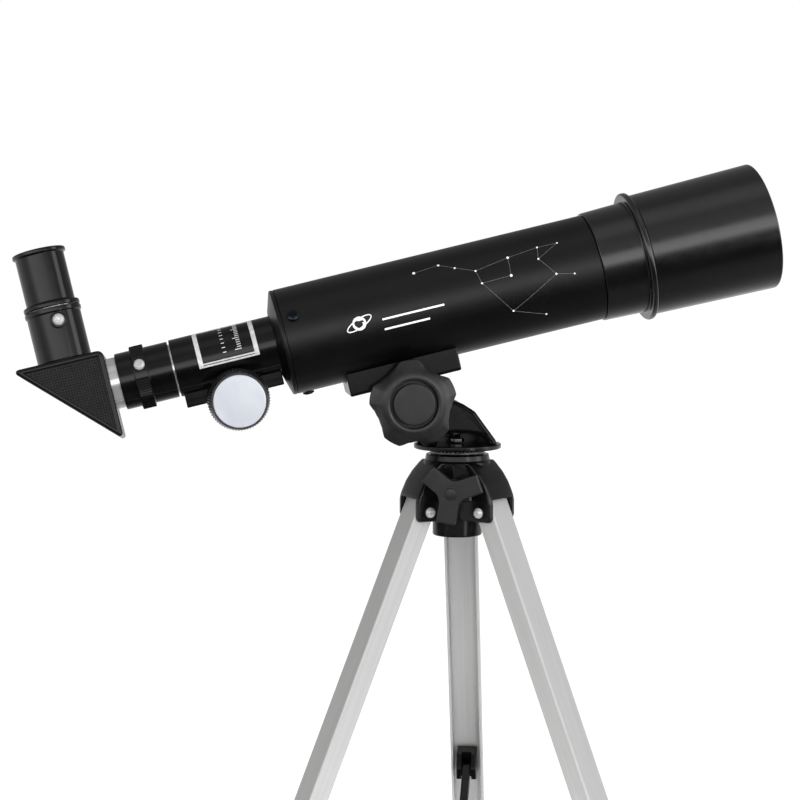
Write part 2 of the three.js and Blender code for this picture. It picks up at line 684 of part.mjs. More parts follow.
function azimuthLockKnob() {
  const wings = [];
  for (const a of [20, 140, 260]) {
    const tip = [[0, -4.6], [9, -4], [13.6, -4.4], [14.4, 0], [13.6, 4.4], [9, 4], [0, 4.6]];
    wings.push(prismZ(tip, 24.6, 29.6).rotateZ(rad(a)));
  }
  const knob = join(...wings, rod(6.4, 21.2, 30.4, ROUND));
  const lifted = knob.rotateY(Math.PI / 2).rotateX(Math.PI / 2).translate(0, 0, LOCK_Z);
  const stem = rodX(2, 8.4, 23, TINY).translate(0, 0, LOCK_Z);
  return join(lifted, stem).rotateZ(rad(LOCK_AZIMUTH));
}

// Leg pieces are built about the hinge, with X outwards from the leg's face and Z up the leg.
function legChannel() {
  const w = LEG_WIDTH / 2;
  const t = LEG_WALL;
  const section = [
    [LEG_IN, -w], [LEG_OUT, -w], [LEG_OUT, w], [LEG_IN, w],
    [LEG_IN, w - t], [LEG_OUT - t, w - t], [LEG_OUT - t, -w + t], [LEG_IN, -w + t],
  ];
  return cut(prismZ(section, -LEG_LENGTH, LEG_TOP), rodY(2, -12, 12, TINY));
}

function legHingeBolt() {
  const dome = (side) => revolve([
    [0, 11], [2.5, CHEEK_HALF + GAP], [2.5, CHEEK_HALF + 1.1], [1.7, CHEEK_HALF + 2], [0, CHEEK_HALF + 2.3],
  ], TINY).rotateX((side * Math.PI) / 2);
  return join(rodY(1.6, -11.8, 11.8, TINY), dome(1), dome(-1));
}

function legFoot() {
  const outer = prismZ(rounded([[-6.1, -10.2], [7.7, -10.2], [7.7, 10.2], [-6.1, 10.2]], 2.2), -312, -286);
  const room = LEG_WIDTH / 2 + GAP;
  const filling = LEG_WIDTH / 2 - LEG_WALL - GAP;
  const pocket = box(LEG_IN - GAP, LEG_OUT + GAP, -room, room, -LEG_LENGTH - GAP, -280);
  const core = box(LEG_IN - GAP, LEG_OUT - LEG_WALL - GAP, -filling, filling, -301, -287);
  const floor = box(60, 180, -20, 20, -FLOOR_BELOW_HINGE - 60, -FLOOR_BELOW_HINGE).rotateY(rad(LEG_TILT));
  return cut(join(cut(outer, pocket), core), floor);
}

function braceBracket() {
  const face = LEG_OUT - LEG_WALL - GAP;
  const side = [
    [face, 8], [-3.5, 8], [BRACE_IN - 3, 3.5], [BRACE_IN - 3.6, 0],
    [BRACE_IN - 3, -3.5], [-3.5, -8], [face, -8],
  ];
  const slot = box(-20, -1.5, -2.6, 2.6, -15, 15);
  const bore = rodY(1.9, -10, 10, TINY).translate(BRACE_IN, 0, 0);
  const lug = cut(prismY(side, -LUG_HALF_WIDTH, LUG_HALF_WIDTH), slot, bore);
  return lug.translate(0, 0, -BRACE_DOWN);
}

// The length of a brace arm between its pivots, and the height of its inner one.
function braceGeometry() {
  const tilt = rad(LEG_TILT);
  const outerR = HINGE_R + BRACE_DOWN * Math.sin(tilt) + BRACE_IN * Math.cos(tilt);
  const outerZ = HINGE_Z - BRACE_DOWN * Math.cos(tilt) + BRACE_IN * Math.sin(tilt);
  const length = (outerR - BRACE_PIVOT_R) / Math.cos(rad(BRACE_SLOPE));
  const hubZ = outerZ - length * Math.sin(rad(BRACE_SLOPE));
  return { length, hubZ };
}

function braceArm() {
  const { length, hubZ } = braceGeometry();
  const bar = rounded([[-3.4, -3.4], [length + 3.4, -3.4], [length + 3.4, 3.4], [-3.4, 3.4]], 3.2);
  const web = rounded([[7, -1.8], [length - 7, -1.8], [length - 7, 1.8], [7, 1.8]], 1.2, 2);
  const body = cut(prismY(bar, -2, 2), prismY(web, -3, -1.1), prismY(web, 1.1, 3));
  const innerPin = rodY(1.4, -3.1, 3.1, TINY);
  const pinHalf = LUG_HALF_WIDTH - GAP;
  const outerPin = rodY(1.5, -pinHalf, pinHalf, TINY).translate(length, 0, 0);
  return join(body, innerPin, outerPin).rotateY(-rad(BRACE_SLOPE)).translate(BRACE_PIVOT_R, 0, hubZ);
}

function braceHub() {
  const { hubZ } = braceGeometry();
  const disc = revolve([
    [0, -4], [BRACE_HUB_R - 1, -4], [BRACE_HUB_R, -3], [BRACE_HUB_R, 3], [BRACE_HUB_R - 1, 4], [0, 4],
  ], ROUND);
  const slots = LEG_AZIMUTHS.map((azimuth) => box(3.9, 20, -3.5, 3.5, -8, 8).rotateZ(rad(azimuth)));
  return cut(disc, ...slots).translate(0, 0, hubZ);
}

// ---- Assembly ----
const group = new THREE.Group();
const stand = new THREE.Group();
stand.position.set(...SHIFT);
group.add(stand);

const tube = new THREE.Group();
tube.position.set(AXIS_X, 0, AXIS_Z);
tube.rotation.y = -rad(ELEVATION);
stand.add(tube);

mesh(tube, 'main_tube', mainTube(), satinBlack);
mesh(tube, 'objective_cell', objectiveCell(), satinBlack);
mesh(tube, 'crown_lens', crownLens(), glass);
mesh(tube, 'flint_lens', flintLens(), glass);
mesh(tube, 'lens_retaining_ring', retainingRing(), mattBlack);
mesh(tube, 'tube_baffle', tubeBaffle(), mattBlack);
mesh(tube, 'dew_shield', dewShield(), glossBlack);
mesh(tube, 'rear_cap', rearCap(), glossBlack);
CAP_SCREW_ANGLES.forEach((angle, i) => {
  const piece = radial(screw(1.3, 21.5, TUBE_R_REAR + GAP, 2.8, 1.3), angle, CAP_SCREW_STATION);
  mesh(tube, `rear_cap_screw_${i + 1}`, piece, glossBlack);
});
mesh(tube, 'focuser_housing', focuserHousing(), glossBlack);
mesh(tube, 'pinion_cover', pinionCover(), mattBlack);
mesh(tube, 'focus_shaft', focusShaft(), chrome);
mesh(tube, 'focus_pinion', focusPinion(), chrome);
mesh(tube, 'focus_rack', focusRack(), mattBlack);
mesh(tube, 'focus_knob_near', focusKnob(-1), mattBlack);
mesh(tube, 'focus_knob_far', focusKnob(1), mattBlack);
mesh(tube, 'focus_inlay_near', focusInlay(-1), silver);
mesh(tube, 'focus_inlay_far', focusInlay(1), silver);
mesh(tube, 'drawtube', drawtube(), chrome);
mesh(tube, 'drawtube_head', drawtubeHead(), glossBlack);
mesh(tube, 'drawtube_lock_screw', drawtubeLockScrew(), chrome);
mesh(tube, 'saddle_block', saddleBlock(), mattBlack);

const diagonal = new THREE.Group();
diagonal.rotation.x = -rad(DIAGONAL_ROLL);
tube.add(diagonal);

mesh(diagonal, 'diagonal_shell_near', diagonalShell(-1), mattBlack);
mesh(diagonal, 'diagonal_shell_far', diagonalShell(1), mattBlack);
mesh(diagonal, 'diagonal_mirror', diagonalMirror(), chrome);
mesh(diagonal, 'diagonal_barrel', diagonalBarrel(), chrome);
mesh(diagonal, 'eyepiece_socket', eyepieceSocket(), glossBlack);
mesh(diagonal, 'eyepiece_lock_screw', eyepieceLockScrew(), chrome);
mesh(diagonal, 'eyepiece_barrel', eyepieceBarrel(), chrome);
mesh(diagonal, 'eyepiece_body', eyepieceBody(), glossBlack);
mesh(diagonal, 'eye_lens', eyeLens(), glass);
mesh(diagonal, 'field_lens', fieldLens(), glass);

mesh(stand, 'pan_bracket', panBracket(), mattBlack);
mesh(stand, 'pan_washer', panWasher(), chrome);
mesh(stand, 'azimuth_bolt', azimuthBolt(), chrome);
mesh(stand, 'altitude_bolt', altitudeBolt(), chrome);
mesh(stand, 'altitude_knob', altitudeKnob(), mattBlack);
mesh(stand, 'altitude_knob_cap', altitudeKnobCap(), mattBlack);
mesh(stand, 'tripod_hub', tripodHub(), glossBlack);
mesh(stand, 'azimuth_lock_knob', azimuthLockKnob(), mattBlack);
mesh(stand, 'brace_hub', braceHub(), mattBlack);

LEG_AZIMUTHS.forEach((azimuth, i) => {
  const plane = new THREE.Group();
  plane.rotation.z = rad(azimuth);
  stand.add(plane);
  mesh(plane, `brace_arm_${i + 1}`, braceArm(), mattBlack);
  const leg = new THREE.Group();
  leg.position.set(HINGE_R, 0, HINGE_Z);
  leg.rotation.y = -rad(LEG_TILT);
  plane.add(leg);
  mesh(leg, `leg_${i + 1}`, legChannel(), aluminium);
  mesh(leg, `leg_hinge_bolt_${i + 1}`, legHingeBolt(), chrome);
  mesh(leg, `leg_foot_${i + 1}`, legFoot(), rubber);
  mesh(leg, `brace_bracket_${i + 1}`, braceBracket(), mattBlack);
});

export default group;
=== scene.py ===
"""Looks of a small refracting telescope on a tabletop tripod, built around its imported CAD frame.

Shapes are written in millimetres in the frame of the part that they belong to, and become metres in the mesh.
"""

import json
import math

import bmesh
import bpy
import numpy as np
from mathutils import Matrix, Vector


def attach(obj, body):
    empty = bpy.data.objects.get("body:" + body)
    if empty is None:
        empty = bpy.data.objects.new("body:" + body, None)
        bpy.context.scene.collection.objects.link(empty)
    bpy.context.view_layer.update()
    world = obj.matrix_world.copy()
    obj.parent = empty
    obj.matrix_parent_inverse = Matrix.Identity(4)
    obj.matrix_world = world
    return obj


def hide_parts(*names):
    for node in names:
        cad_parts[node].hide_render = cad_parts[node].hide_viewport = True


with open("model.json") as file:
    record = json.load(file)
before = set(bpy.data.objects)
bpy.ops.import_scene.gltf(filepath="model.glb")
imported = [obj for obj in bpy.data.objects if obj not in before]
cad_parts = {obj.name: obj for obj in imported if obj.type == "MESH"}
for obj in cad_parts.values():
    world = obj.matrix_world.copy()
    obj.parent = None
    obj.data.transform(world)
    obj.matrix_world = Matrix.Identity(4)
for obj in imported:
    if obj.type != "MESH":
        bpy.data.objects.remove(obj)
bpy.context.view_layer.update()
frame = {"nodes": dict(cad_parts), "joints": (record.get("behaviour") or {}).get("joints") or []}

MM = 0.001

# Directions in degrees and lengths in millimetres. Heights of the stand count from its azimuth joint, and
# stations run along the optical axis, forward positive.
AXIS_X, AXIS_Z = -1.7, 70.44
ELEVATION, ROLL, LEG_TILT = 13.36, 8.0, 22.5
LEG_AZIMUTHS = (77.5, 197.5, -42.5)
HINGE_R, HINGE_Z = 20, -30
LOCK_AZIMUTH, LOCK_Z = 255.5, -19.7
TUBE_REAR, TUBE_FRONT = -84, 69
TUBE_R_REAR, TUBE_R_FRONT = 25.5, 25.75
HOUSING_R = 13.95
EYE_STATION = -187.3
SHAFT_STATION, SHAFT_DROP = -112.3, 20.1
BRACE_IN, BRACE_DOWN = -7, 160
BRACE_HUB_R, BRACE_SLOPE = 10, 30
CAMERA_HEADING, CAMERA_DOWN = -6.9, 4.6
CAMERA_FROM_STAND = (-143.7, -955.6, 100.1)


# ---- Frames, in millimetres ----
def turn(axis, degrees):
    return Matrix.Rotation(math.radians(degrees), 4, axis)


def move(x, y, z):
    return Matrix.Translation((x, y, z))


def at_joint(name):
    joint = next(j for j in frame["joints"] if j["name"] == name)
    return Matrix.Translation(Vector(joint["pos_m"]) / MM)


HERE = Matrix.Identity(4)
ALONG_X = turn("Y", 90)  # local Z becomes X, and local X points down
ALONG_NEAR = turn("X", 90)  # local Z becomes -Y, and local Y points up
STAND = at_joint("azimuth_pan")
PIVOT = at_joint("altitude_tilt")
TUBE = STAND @ move(AXIS_X, 0, AXIS_Z) @ turn("Y", -ELEVATION)
DIAGONAL = TUBE @ turn("X", -ROLL)
LEG_PLANES = [STAND @ turn("Z", a) for a in LEG_AZIMUTHS]
HINGES = [plane @ move(HINGE_R, 0, HINGE_Z) for plane in LEG_PLANES]
LEGS = [hinge @ turn("Y", -LEG_TILT) for hinge in HINGES]


# ---- Camera ----
camera = bpy.data.objects.new("camera", bpy.data.cameras.new("camera"))
bpy.context.scene.collection.objects.link(camera)
bpy.context.scene.camera = camera
camera.data.lens = 90
camera.data.sensor_width = 36
camera.data.clip_end = 20
camera.location = (STAND.to_translation() + Vector(CAMERA_FROM_STAND)) * MM
camera.rotation_euler = (math.radians(90 - CAMERA_DOWN), 0, math.radians(CAMERA_HEADING))


# ---- Outlines ----
def rounded(corners, inset=0.0, closed=True):
    """Points of an outline of (x, y) or (x, y, rounding) corners, moved inwards by inset."""
    corners = [tuple(c) + (0.0,) * (3 - len(c)) for c in corners]
    if closed:
        area = sum(a[0] * b[1] - b[0] * a[1] for a, b in zip(corners, corners[1:] + corners[:1]))
        if area < 0:
            corners = corners[::-1]
    points = []
    for i, (x, y, radius) in enumerate(corners):
        here = np.array((x, y))
        if not closed and i in (0, len(corners) - 1):
            points.append(here)
            continue
        back = here - np.array(corners[i - 1][:2])
        ahead = np.array(corners[(i + 1) % len(corners)][:2]) - here
        room = 0.49 * min(np.linalg.norm(back), np.linalg.norm(ahead))
        back, ahead = back / np.linalg.norm(back), ahead / np.linalg.norm(ahead)
        normal, next_normal = np.array((-back[1], back[0])), np.array((-ahead[1], ahead[0]))
        here = here + (normal + next_normal) * inset / (1 + normal @ next_normal)
        bend = math.atan2(back[0] * ahead[1] - back[1] * ahead[0], back @ ahead)
        if radius == 0 or abs(bend) < 0.001:
            points.append(here)
            continue
        size = max(radius - inset, 0.02) if bend > 0 else radius + inset
        size = min(size, room / math.tan(abs(bend) / 2))
        start = here - back * size * math.tan(abs(bend) / 2)
        centre = start + normal * math.copysign(size, bend)
        steps = max(2, math.ceil(math.degrees(abs(bend)) / 15))
        for k in range(steps + 1):
            c, s = math.cos(bend * k / steps), math.sin(bend * k / steps)
            dx, dy = start - centre
            points.append(centre + np.array((dx * c - dy * s, dx * s + dy * c)))
    return points


def softened(low, high, edge, top_edge=None, steps=4):
    """(inset, height) levels of a prism whose two ends have rounded edges."""
    top_edge = edge if top_edge is None else top_edge
    quarter = [math.pi / 2 * k / steps for k in range(steps + 1)]
    levels = [(edge * (1 - math.sin(a)), low + edge * (1 - math.cos(a))) for a in quarter]
    levels += [(top_edge * (1 - math.cos(a)), high - top_edge * (1 - math.sin(a))) for a in quarter]
    return levels


def arc(x, y, radius, start, end, steps):
    angles = [math.radians(start + (end - start) * k / steps) for k in range(steps + 1)]
    return [(x + radius * math.cos(a), y + radius * math.sin(a)) for a in angles]


def ridges(count, depth, above, low=-1e9, high=1e9, plain=None):
    """A lathe wave: fine grooves where the radius is over above and the height between low and high.

    plain is the middle and half width, in degrees, of a stretch that stays smooth.
    """

    def wave(angle, r, h):
        if r < above or not low < h < high:
            return r
        if plain and abs((math.degrees(angle) - plain[0] + 180) % 360 - 180) < plain[1]:
            return r
        return r - depth * (0.5 - 0.5 * math.cos(count * angle)) ** 0.7

    return wave


# ---- Solids ----
class Shape:
    """Closed shells in one frame, in millimetres."""

    def __init__(self):
        self.verts, self.faces = [], []

    def add(self, verts, faces, place=HERE):
        start = len(self.verts)
        self.verts += [place @ Vector(v) for v in verts]
        self.faces += [[start + i for i in f] for f in faces]
        return self

    def loft(self, sections, place=HERE):
        """Joins sections of equally many points, and closes both ends."""
        n = len(sections[0])
        verts = [p for section in sections for p in section]
        faces = [list(range(n))[::-1], [len(verts) - n + i for i in range(n)]]
        for k in range(len(sections) - 1):
            for i in range(n):
                j = (i + 1) % n
                faces.append([k * n + i, k * n + j, (k + 1) * n + j, (k + 1) * n + i])
        return self.add(verts, faces, place)

    def prism(self, corners, levels, place=HERE):
        sections = [[(x, y, h) for x, y in rounded(corners, inset)] for inset, h in levels]
        return self.loft(sections, place)

    def lathe(self, corners, steps=72, place=HERE, wave=None):
        """Turns (radius, height, rounding) corners about local Z: a ring, or a chain from axis to axis."""
        closed = corners[0][0] > 0
        rows, verts, faces = [], [], []
        for r, h in rounded(corners, closed=closed):
            if r < 1e-6:
                rows.append([len(verts)] * steps)
                verts.append((0, 0, h))
                continue
            rows.append(list(range(len(verts), len(verts) + steps)))
            for k in range(steps):
                a = 2 * math.pi * k / steps
                size = wave(a, r, h) if wave else r
                verts.append((size * math.cos(a), size * math.sin(a), h))
        for low, high in zip(rows, rows[1:] + rows[:1] * closed):
            for i in range(steps):
                j = (i + 1) % steps
                face = list(dict.fromkeys([low[i], low[j], high[j], high[i]]))
                if len(face) > 2:
                    faces.append(face)
        return self.add(verts, faces, place)

    def box(self, x0, x1, y0, y1, z0, z1, place=HERE):
        return self.prism([(x0, y0), (x1, y0), (x1, y1), (x0, y1)], [(0, z0), (0, z1)], place)

    def mesh(self, name="shape"):
        data = bpy.data.meshes.new(name)
        data.from_pydata([v * MM for v in self.verts], [], self.faces)
        clean = bmesh.new()
        clean.from_mesh(data)
        bmesh.ops.remove_doubles(clean, verts=clean.verts, dist=1e-7)
        bmesh.ops.dissolve_degenerate(clean, edges=clean.edges, dist=1e-7)
        bmesh.ops.recalc_face_normals(clean, faces=clean.faces)
        clean.to_mesh(data)
        clean.free()
        return data


def carved(base, *tools, operation="DIFFERENCE"):
    """The base shape with each tool cut from it, or joined to it."""
    target = bpy.data.objects.new("carved", base.mesh())
    bpy.context.scene.collection.objects.link(target)
    cutters = []
    for tool in tools:
        cutter = bpy.data.objects.new("cutter", tool.mesh())
        bpy.context.scene.collection.objects.link(cutter)
        modifier = target.modifiers.new("cut", "BOOLEAN")
        modifier.object = cutter
        modifier.operation = operation
        modifier.solver = "EXACT"
        cutters.append(cutter)
    graph = bpy.context.evaluated_depsgraph_get()
    result = target.evaluated_get(graph).to_mesh()
    shape = Shape()
    shape.verts = [v.co / MM for v in result.vertices]
    shape.faces = [list(p.vertices) for p in result.polygons]
    for o in [target, *cutters]:
        bpy.data.objects.remove(o)
    return shape


def piece(name, shape, body, material, where, nodes=(), sharp=38):
    """Makes a shape an object that rides on a body and stands for its CAD nodes."""
    data = shape.mesh(name)
    data.polygons.foreach_set("use_smooth", [True] * len(data.polygons))
    data.set_sharp_from_angle(angle=math.radians(sharp))
    data.materials.append(material)
    made = bpy.data.objects.new(name, data)
    bpy.context.scene.collection.objects.link(made)
    place = where.copy()
    place.translation = where.to_translation() * MM
    made.matrix_world = place
    weighted = made.modifiers.new("weighted", "WEIGHTED_NORMAL")
    weighted.keep_sharp = True
    weighted.weight = 80
    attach(made, body)
    if nodes:
        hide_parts(*nodes)
    return made


# ---- Materials ----
def surface(name, dark, light, rough, patch=90, grain=1500, relief=0.02, wave=0.0, stretch=(1, 1, 1),
            **shader):
    """A material whose colour and roughness drift over the surface, with fine relief in millimetres.

    rough is the lowest and highest roughness, patch and grain the texture scales per metre, and wave the
    height of long undulations. Anything else is a constant on the shader's own socket.
    """
    material = bpy.data.materials.new(name)
    material.use_nodes = True
    nodes, links = material.node_tree.nodes, material.node_tree.links
    bsdf = nodes["Principled BSDF"]
    for socket, value in shader.items():
        bsdf.inputs[socket.replace("_", " ")].default_value = value
    where = nodes.new("ShaderNodeTexCoord")
    mapping = nodes.new("ShaderNodeMapping")
    mapping.inputs["Scale"].default_value = stretch
    links.new(where.outputs["Object"], mapping.inputs["Vector"])

    def noise(scale, detail, roughness=0.55):
        node = nodes.new("ShaderNodeTexNoise")
        node.inputs["Scale"].default_value = scale
        node.inputs["Detail"].default_value = detail
        node.inputs["Roughness"].default_value = roughness
        links.new(mapping.outputs["Vector"], node.inputs["Vector"])
        return node.outputs["Fac"]

    drift = noise(patch, 4)
    mix = nodes.new("ShaderNodeMix")
    mix.data_type = "RGBA"
    mix.inputs["A"].default_value = (*dark, 1)
    mix.inputs["B"].default_value = (*light, 1)
    spread = nodes.new("ShaderNodeMapRange")
    spread.inputs["From Min"].default_value = 0.3
    spread.inputs["From Max"].default_value = 0.7
    links.new(drift, spread.inputs["Value"])
    links.new(spread.outputs["Result"], mix.inputs["Factor"])
    links.new(mix.outputs["Result"], bsdf.inputs["Base Color"])
    sheen = nodes.new("ShaderNodeMapRange")
    sheen.inputs["From Min"].default_value = 0.3
    sheen.inputs["From Max"].default_value = 0.7
    sheen.inputs["To Min"].default_value = rough[0]
    sheen.inputs["To Max"].default_value = rough[1]
    links.new(noise(patch * 3.1, 6), sheen.inputs["Value"])
    links.new(sheen.outputs["Result"], bsdf.inputs["Roughness"])
    bump = nodes.new("ShaderNodeBump")
    bump.inputs["Strength"].default_value = 1
    bump.inputs["Distance"].default_value = relief * MM
    links.new(noise(grain, 3), bump.inputs["Height"])
    links.new(bump.outputs["Normal"], bsdf.inputs["Normal"])
    if wave:
        long_bump = nodes.new("ShaderNodeBump")
        long_bump.inputs["Strength"].default_value = 1
        long_bump.inputs["Distance"].default_value = wave * MM
        links.new(noise(35, 1), long_bump.inputs["Height"])
        links.new(long_bump.outputs["Normal"], bump.inputs["Normal"])
    return material


satin_black = surface("satin_black_paint", (0.0008, 0.0008, 0.0009), (0.0016, 0.0016, 0.0018),
                      (0.33, 0.38), patch=60, grain=1400, relief=0.0025, wave=0.02, Specular_IOR_Level=0.45)
gloss_black = surface("gloss_black_plastic", (0.0012, 0.0012, 0.0014), (0.0026, 0.0026, 0.0028),
                      (0.16, 0.22), patch=70, grain=900, relief=0.0012, wave=0.04, Specular_IOR_Level=1.0)
deep_black = surface("polished_black_lacquer", (0.0012, 0.0012, 0.0014), (0.0026, 0.0026, 0.0028),
                     (0.1, 0.16), patch=90, grain=900, relief=0.0012, wave=0.08, Specular_IOR_Level=0.45)
soft_black = surface("moulded_black_plastic", (0.0015, 0.0015, 0.0017), (0.0032, 0.0032, 0.0034),
                     (0.18, 0.25), patch=110, grain=2200, relief=0.002, wave=0.04, Specular_IOR_Level=0.4)
matt_grey = surface("matt_grey_plastic", (0.006, 0.006, 0.0063), (0.0105, 0.0105, 0.0108), (0.32, 0.42),
                    patch=140, grain=3000, relief=0.008, Specular_IOR_Level=0.6)
hatch_black = surface("textured_black_panel", (0.003, 0.003, 0.0032), (0.006, 0.006, 0.0062), (0.32, 0.42),
                      patch=160, grain=2600, relief=0.008, Specular_IOR_Level=0.4)
knurl_black = surface("knurled_black_rim", (0.006, 0.006, 0.0062), (0.011, 0.011, 0.0112), (0.26, 0.36),
                      patch=200, grain=2600, relief=0.006, Specular_IOR_Level=1.0)
inner_black = surface("matt_black_interior", (0.002, 0.002, 0.002), (0.004, 0.004, 0.004), (0.7, 0.85),
                      patch=150, grain=2600, relief=0.03, Specular_IOR_Level=0.3)
black_metal = surface("blackened_steel", (0.02, 0.024, 0.03), (0.035, 0.04, 0.048), (0.2, 0.3),
                      patch=300, grain=2500, relief=0.004, Metallic=1.0)
dull_steel = surface("dull_steel", (0.1, 0.1, 0.105), (0.18, 0.18, 0.185), (0.24, 0.34),
                     patch=300, grain=2500, relief=0.004, Metallic=1.0)
chrome = surface("bright_chrome", (0.62, 0.62, 0.63), (0.74, 0.74, 0.75), (0.1, 0.16),
                 patch=180, grain=1800, relief=0.0015, Metallic=0.75)
zinc = surface("bright_zinc_plate", (0.42, 0.42, 0.415), (0.6, 0.6, 0.6), (0.22, 0.34),
               patch=260, grain=2600, relief=0.006, Metallic=0.5)
aluminium = surface("satin_aluminium", (0.352, 0.353, 0.348), (0.392, 0.393, 0.388), (0.3, 0.38),
                    patch=700, grain=1800, relief=0.004, stretch=(1, 1, 0.02), Metallic=0.3)
spun_silver = surface("spun_silver_disc", (0.4, 0.42, 0.455), (0.49, 0.512, 0.548), (0.2, 0.24),
                      patch=40, grain=1200, relief=0.0015, Metallic=0.2)
foot_rubber = surface("ribbed_foot_rubber", (0.006, 0.006, 0.006), (0.012, 0.012, 0.012), (0.7, 0.85),
                      patch=220, grain=3200, relief=0.04)
white_print = surface("white_print", (0.55, 0.55, 0.55), (0.75, 0.75, 0.75), (0.45, 0.6),
                      patch=900, grain=3000, relief=0.004)
grey_print = surface("grey_print", (0.09, 0.09, 0.09), (0.16, 0.16, 0.16), (0.45, 0.6),
                     patch=900, grain=3000, relief=0.004)
silver_print = surface("silver_print", (0.42, 0.42, 0.42), (0.66, 0.66, 0.66), (0.28, 0.42),
                       patch=500, grain=3000, relief=0.004, Metallic=0.3)
lens_glass = surface("coated_lens_glass", (0.8, 0.92, 0.88), (0.86, 0.95, 0.93), (0.0, 0.02),
                     patch=60, grain=400, relief=0.0, Transmission_Weight=1.0, IOR=1.52)
mirror_glass = surface("mirror_glass", (0.8, 0.82, 0.83), (0.88, 0.89, 0.9), (0.02, 0.05),
                       patch=80, grain=500, relief=0.0, Metallic=1.0)


# ---- Optical tube ----
def tube_round(name, corners, material, nodes, body="tube", steps=128, wave=None):
    return piece(name, Shape().lathe(corners, steps, ALONG_X, wave), body, material, TUBE, nodes)


tube_round("main_tube_shell", [
    (24.3, TUBE_REAR, 0.1), (TUBE_R_REAR, TUBE_REAR, 0.25),
    (TUBE_R_FRONT, TUBE_FRONT, 0.25), (24.55, TUBE_FRONT, 0.1),
], satin_black, ["main_tube"])
tube_round("objective_cell_body", [
    (22.8, 61), (24.2, 61, 0.3), (24.2, 69.3), (26.6, 69.3, 0.5), (27.3, 90.1, 0.5), (31.5, 90.1, 1.1),
    (31.5, 93.1, 1.1), (27.6, 93.1, 0.2), (27.6, 103.1, 0.4), (25.3, 103.1, 0.3), (25.3, 84), (22.8, 84),
], gloss_black, ["objective_cell"])

threads = []
for k in range(24):
    station = 151.1 - k * 1.9
    inner = 28.2 + (station - 104.1) / 51.5
    threads += [(inner, station), (inner - 0.3, station - 0.5), (inner - 0.3, station - 0.9)]
tube_round("dew_shield_sleeve", [
    (27.9, 93.4, 0.2), (29.5, 93.4, 0.45), (31, 155.6, 0.7), (29.2, 155.6, 0.5), *threads,
    (28.2, 104.1), (27.9, 104.1),
], gloss_black, ["dew_shield"], body="shield")


def lens(name, edge, rear, front, z, node, where, body, axis=ALONG_X, steps=72):
    """A lens between two curved faces, each given as (height on the axis, height at the edge)."""
    bends = [k / 12 for k in range(13)]
    back = [(edge * t, rear[0] + (rear[1] - rear[0]) * t * t) for t in bends]
    face = [(edge * t, front[0] + (front[1] - front[0]) * t * t) for t in reversed(bends)]
    shape = Shape().lathe(back + face, steps, axis)
    return piece(name, shape, body, lens_glass, where @ move(0, 0, z), [node])


lens("objective_crown", 24.9, (86.65, 88.6), (92.2, 90.1), 0, "crown_lens", TUBE, "tube")
lens("objective_flint", 24.9, (84.3, 84.3), (86.2, 88.15), 0, "flint_lens", TUBE, "tube")
ring = Shape().lathe([(23.6, 90.5, 0.2), (25, 90.5), (25, 93.4, 0.2), (23.6, 93.4, 0.35)], 96, ALONG_X)
piece("lens_ring_notched", carved(ring, Shape().box(92.2, 95, -1.2, 1.2, -30, 30)), "tube", inner_black, TUBE,
      ["lens_retaining_ring"])

cap = Shape().lathe([
    (22.5, -74), (24, -74, 0.2), (24, -84.3), (25.5, -84.3, 0.3), (25.5, -86, 0.8), (16, -88.9, 0.5),
    (14.25, -88.9, 0.3), (14.25, -80), (22.5, -80),
], 128, ALONG_X)
piece("rear_cap_cone", carved(cap, Shape().box(-95, -70, -4.1, 4.1, -17.6, -10)), "tube", satin_black, TUBE,
      ["rear_cap"])


def cross_screw(shank, low, top, head, height):
    body = Shape().lathe([
        (0, low), (shank, low, 0.1), (shank, top), (head, top, 0.15), (head, top + height * 0.55, 0.5),
        (head * 0.6, top + height, 0.8), (0, top + height),
    ], 40)
    arm, peak = head * 0.56, top + height
    cross = [(arm, 0.32), (0.32, 0.32), (0.32, arm), (-0.32, arm), (-0.32, 0.32), (-arm, 0.32),
             (-arm, -0.32), (-0.32, -0.32), (-0.32, -arm), (0.32, -arm), (0.32, -0.32), (arm, -0.32)]
    return carved(body, Shape().prism(cross, [(0.12, peak - 0.7), (0, peak + 1)]))


cap_screw = cross_screw(1.3, 21.5, 25.8, 2.8, 1.3)
for k, angle in enumerate((28.9, 148.9, 268.9), 1):
    piece(f"cap_screw_{k}", cap_screw, "tube", black_metal,
          TUBE @ move(-78.7, 0, 0) @ turn("X", 90 - angle), [f"rear_cap_screw_{k}"])


# ---- Printed marks on a round, in its own thin layer ----
def tube_radius(station):
    return TUBE_R_REAR + (TUBE_R_FRONT - TUBE_R_REAR) * (station - TUBE_REAR) / (TUBE_FRONT - TUBE_REAR)


def housing_radius(_station):
    return HOUSING_R


def on_round(radius, station, u, lift):
    """A point at a station and a distance u round the near side, upwards, standing lift above the surface."""
    r = radius(station)
    return (station, -(r + lift) * math.cos(u / r), (r + lift) * math.sin(u / r))


def stroke(shape, radius, start, end, width):
    """A straight line of print between two (station, distance round) points."""
    (s0, u0), (s1, u1) = start, end
    length = math.hypot(s1 - s0, u1 - u0)
    ds, du = (s1 - s0) / length, (u1 - u0) / length
    steps = max(2, math.ceil(length / 0.8))
    sections = []
    for k in range(steps + 1):
        s, u, half = s0 + ds * length * k / steps, u0 + du * length * k / steps, width / 2
        sides = [(s + du * half, u - ds * half), (s - du * half, u + ds * half)]
        lower = [on_round(radius, *p, -0.05) for p in sides]
        sections.append(lower + [on_round(radius, *p, 0.03) for p in reversed(sides)])
    return shape.loft(sections)


